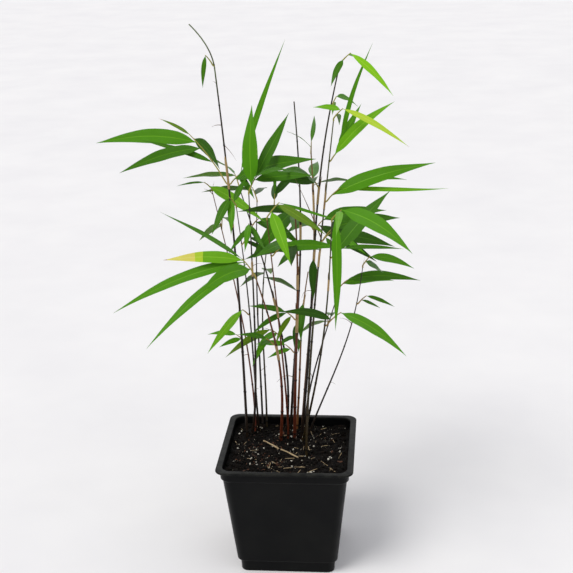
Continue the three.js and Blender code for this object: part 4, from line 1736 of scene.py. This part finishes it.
    def stick(
        self, start: tuple[float, float], end: tuple[float, float], radius: float, seed: float
    ) -> Shape:
        """A piece of straw lying across the bed, as a tube along a slightly bent line.

        Args:
            start: Where it starts, from the pot's middle.
            end: Where it ends.
            radius: Its radius.
            seed: The number that its surface carries.

        Returns:
            The closed straw.
        """
        shares = np.linspace(0, 1, 12)
        flat = np.array(start) + shares[:, None] * (np.array(end) - np.array(start))
        run = np.array(end) - np.array(start)
        aside = np.array([-run[1], run[0]]) / max(float(np.hypot(*run)), TINY)
        bend = 0.02 * float(np.hypot(*run)) * np.sin(shares * math.pi * (1 + seed))
        flat = flat + bend[:, None] * aside
        ends = self.height(flat[[0, -1], 0], flat[[0, -1], 1]) + radius + 0.9
        high = ends[0] + (ends[1] - ends[0]) * shares
        line = np.column_stack([flat, high])
        thick = radius * (0.85 + 0.15 * np.cos(shares * 9 + seed))
        return tube(line, thick, 8, np.array([*aside, 0.0]), seed)

    def straws(self) -> Shape:
        """Two long straws and a scatter of short fibres."""
        shapes = [
            self.stick((-21.5, 14.0), (-8.0, 1.5), 0.75, 0.2),
            self.stick((-6.2, -0.6), (8.6, -13.0), 0.7, 0.7),
        ]
        random = generator("fibres")
        places = self.spots(random, 46, [(-6, -26, 10), (20, 20, 14)])
        turns, lengths = random.uniform(0, math.pi, 46), random.uniform(2.5, 8, 46)
        seeds = random.uniform(0, 1, 46)
        for (x, y), turn, length, seed in zip(places, turns, lengths, seeds):
            reach = self.edge - 2
            end = np.clip([x + length * math.cos(turn), y + length * math.sin(turn)], -reach, reach)
            shapes.append(self.stick((x, y), tuple(end), 0.12 + 0.16 * seed, seed))
        return Shape.joined(shapes)

    def build(self) -> None:
        """Makes the bed and what lies on it."""
        make_piece("potting_mix", self.bed(), [PottingMix("damp_peat").make()], ["soil"], crease=70)
        drifts = [(28, 26, 11), (18, 4, 14), (-8, -28, 9), (-30, 0, 9), (4, 34, 12)]
        pale = Crumbly("pale_mineral", paint(226, 222, 210), paint(150, 144, 130))
        grains = self.scatter("grains", 110, (0.5, 1.35), (1.0, 0.8, 0.7), drifts)
        make_piece("mineral_grains", grains, [pale.make()], crease=20)
        specks = Crumbly("pale_specks", paint(176, 168, 150), paint(96, 88, 74))
        shape = self.scatter("specks", 320, (0.2, 0.5), (1.0, 0.8, 0.7), drifts)
        make_piece("mineral_specks", shape, [specks.make()], crease=20)
        bark = Crumbly("bark_chip", paint(98, 58, 34), paint(44, 26, 18), 180.0)
        chips = self.scatter("chips", 90, (0.9, 2.4), (1.0, 0.5, 0.28), [(-14, -20, 9), (-12, 20, 12)])
        make_piece("bark_chips", chips, [bark.make()], crease=20)
        peat = PottingMix("peat_crumb", paint(12, 9, 7), paint(34, 24, 17), 0.2)
        crumbs = self.scatter("crumbs", 1500, (0.5, 1.5), (1.0, 0.85, 0.75))
        make_piece("peat_crumbs", crumbs, [peat.make()], crease=25)
        straw = DryHusk("dry_straw", paint(186, 164, 128), paint(122, 92, 60))
        make_piece("dry_straws", self.straws(), [straw.make()])


# ---- the room -----------------------------------------------------------------------------------
@dataclass(frozen=True)
class SoftLight:
    """A wide, distant lamp that shines evenly on the plant and the floor.

    Attributes:
        name: Its name.
        side: Where it shines from.
        strength: How strongly.
        spread: How wide it looks from the plant, in degrees.
        colour: Its colour.
    """

    name: str
    side: Colour
    strength: float
    spread: float
    colour: Colour = (1.0, 1.0, 1.0)

    def hang(self) -> None:
        """Makes the lamp and turns it to the plant."""
        data = bpy.data.lights.new(self.name, "SUN")
        data.energy, data.angle, data.color = self.strength, math.radians(self.spread), self.colour
        lamp = bpy.data.objects.new(self.name, data)
        lamp.location = self.side
        lamp.rotation_euler = Vector(self.side).to_track_quat("Z", "Y").to_euler()
        bpy.context.scene.collection.objects.link(lamp)


@dataclass
class Studio:
    """A pale floor, soft light and the camera."""

    eye: tuple[float, float, float] = (76.0, -819.0, 514.0)
    azimuth: float = 5.21
    pitch: float = 19.32
    roll: float = -1.40
    lens: float = 72.53
    floor_half: float = 9.0
    lights: tuple[SoftLight, ...] = (
        SoftLight("key_light", (-0.9, -0.9, 1.8), 1.7, 30.0, (1.0, 0.985, 0.95)),
        SoftLight("fill_light", (1.5, -0.9, 0.9), 0.4, 60.0, (0.93, 0.97, 1.0)),
        SoftLight("back_light", (0.3, 1.6, 1.4), 0.45, 60.0),
    )

    def build_floor(self) -> None:
        """Makes the floor, a square with a faint mottle."""
        half = self.floor_half
        mesh = bpy.data.meshes.new("floor")
        corners = [(-half, -half, 0), (half, -half, 0), (half, half, 0), (-half, half, 0)]
        mesh.from_pydata(corners, [], [(0, 1, 2, 3)])
        graph = Graph("pale_floor")
        mottle = graph.between(graph.noise(graph.place(), 6.0, 3.0), 0.3, 0.7)
        colour = graph.mixed(mottle, paint(232, 231, 233), paint(238, 237, 238))
        mesh.materials.append(graph.finish(Base_Color=colour, Roughness=0.9))
        floor = bpy.data.objects.new("floor", mesh)
        bpy.context.scene.collection.objects.link(floor)
        floor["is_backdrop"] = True

    def build_sky(self) -> None:
        """Lights the room from all round, as pale walls would."""
        world = bpy.data.worlds.new("room")
        world.use_nodes = True
        back = world.node_tree.nodes["Background"]
        back.inputs[0].default_value = (*paint(236, 236, 240), 1.0)
        back.inputs[1].default_value = 0.6
        bpy.context.scene.world = world

    def build_camera(self) -> None:
        """Makes the camera and sets it: it looks along an azimuth and pitch, then rolls."""
        azimuth, pitch, roll = (math.radians(angle) for angle in (self.azimuth, self.pitch, self.roll))
        flat = math.cos(pitch)
        back = np.array([math.sin(azimuth) * flat, -math.cos(azimuth) * flat, math.sin(pitch)])
        right = np.array([math.cos(azimuth), math.sin(azimuth), 0.0])
        up = np.cross(back, right)
        across = math.cos(roll) * right + math.sin(roll) * up
        over = -math.sin(roll) * right + math.cos(roll) * up
        turn = Matrix(np.column_stack([across, over, back]).tolist()).to_4x4()
        data = bpy.data.cameras.new("camera")
        data.lens, data.sensor_width = self.lens, 36.0
        data.clip_start, data.clip_end = 0.01, 60.0
        camera = bpy.data.objects.new("camera", data)
        camera.matrix_world = Matrix.Translation(Vector(self.eye) * MM) @ turn
        bpy.context.scene.collection.objects.link(camera)
        bpy.context.scene.camera = camera

    def build(self) -> None:
        """Makes the room."""
        self.build_floor()
        self.build_sky()
        for light in self.lights:
            light.hang()
        self.build_camera()
        bpy.context.scene.view_settings.view_transform = "Standard"


def write_sizes() -> None:
    """Works out the part's box and the dressed plant's box side by side, and keeps neither."""
    boxes = {"cad": CAD_BOX, "visual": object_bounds()}
    {name: [list(corner) for corner in box] for name, box in boxes.items()}


def main() -> None:
    """Builds the pot, the mix, the plant and the room, and reports each piece."""
    logging.basicConfig(level=logging.INFO, format="%(name)s: %(message)s", stream=sys.stdout)
    pot = NurseryPot()
    pot.build()
    MixBed(pot, np.array([cane.foot for cane in CANES], float)).build()
    Clump(CANES, SPRAYS, DRY_TWIGS).build()
    Studio().build()
    write_sizes()
    log.info("the frame has %d nodes", len(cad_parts))


if __name__ == "__main__":
    main()
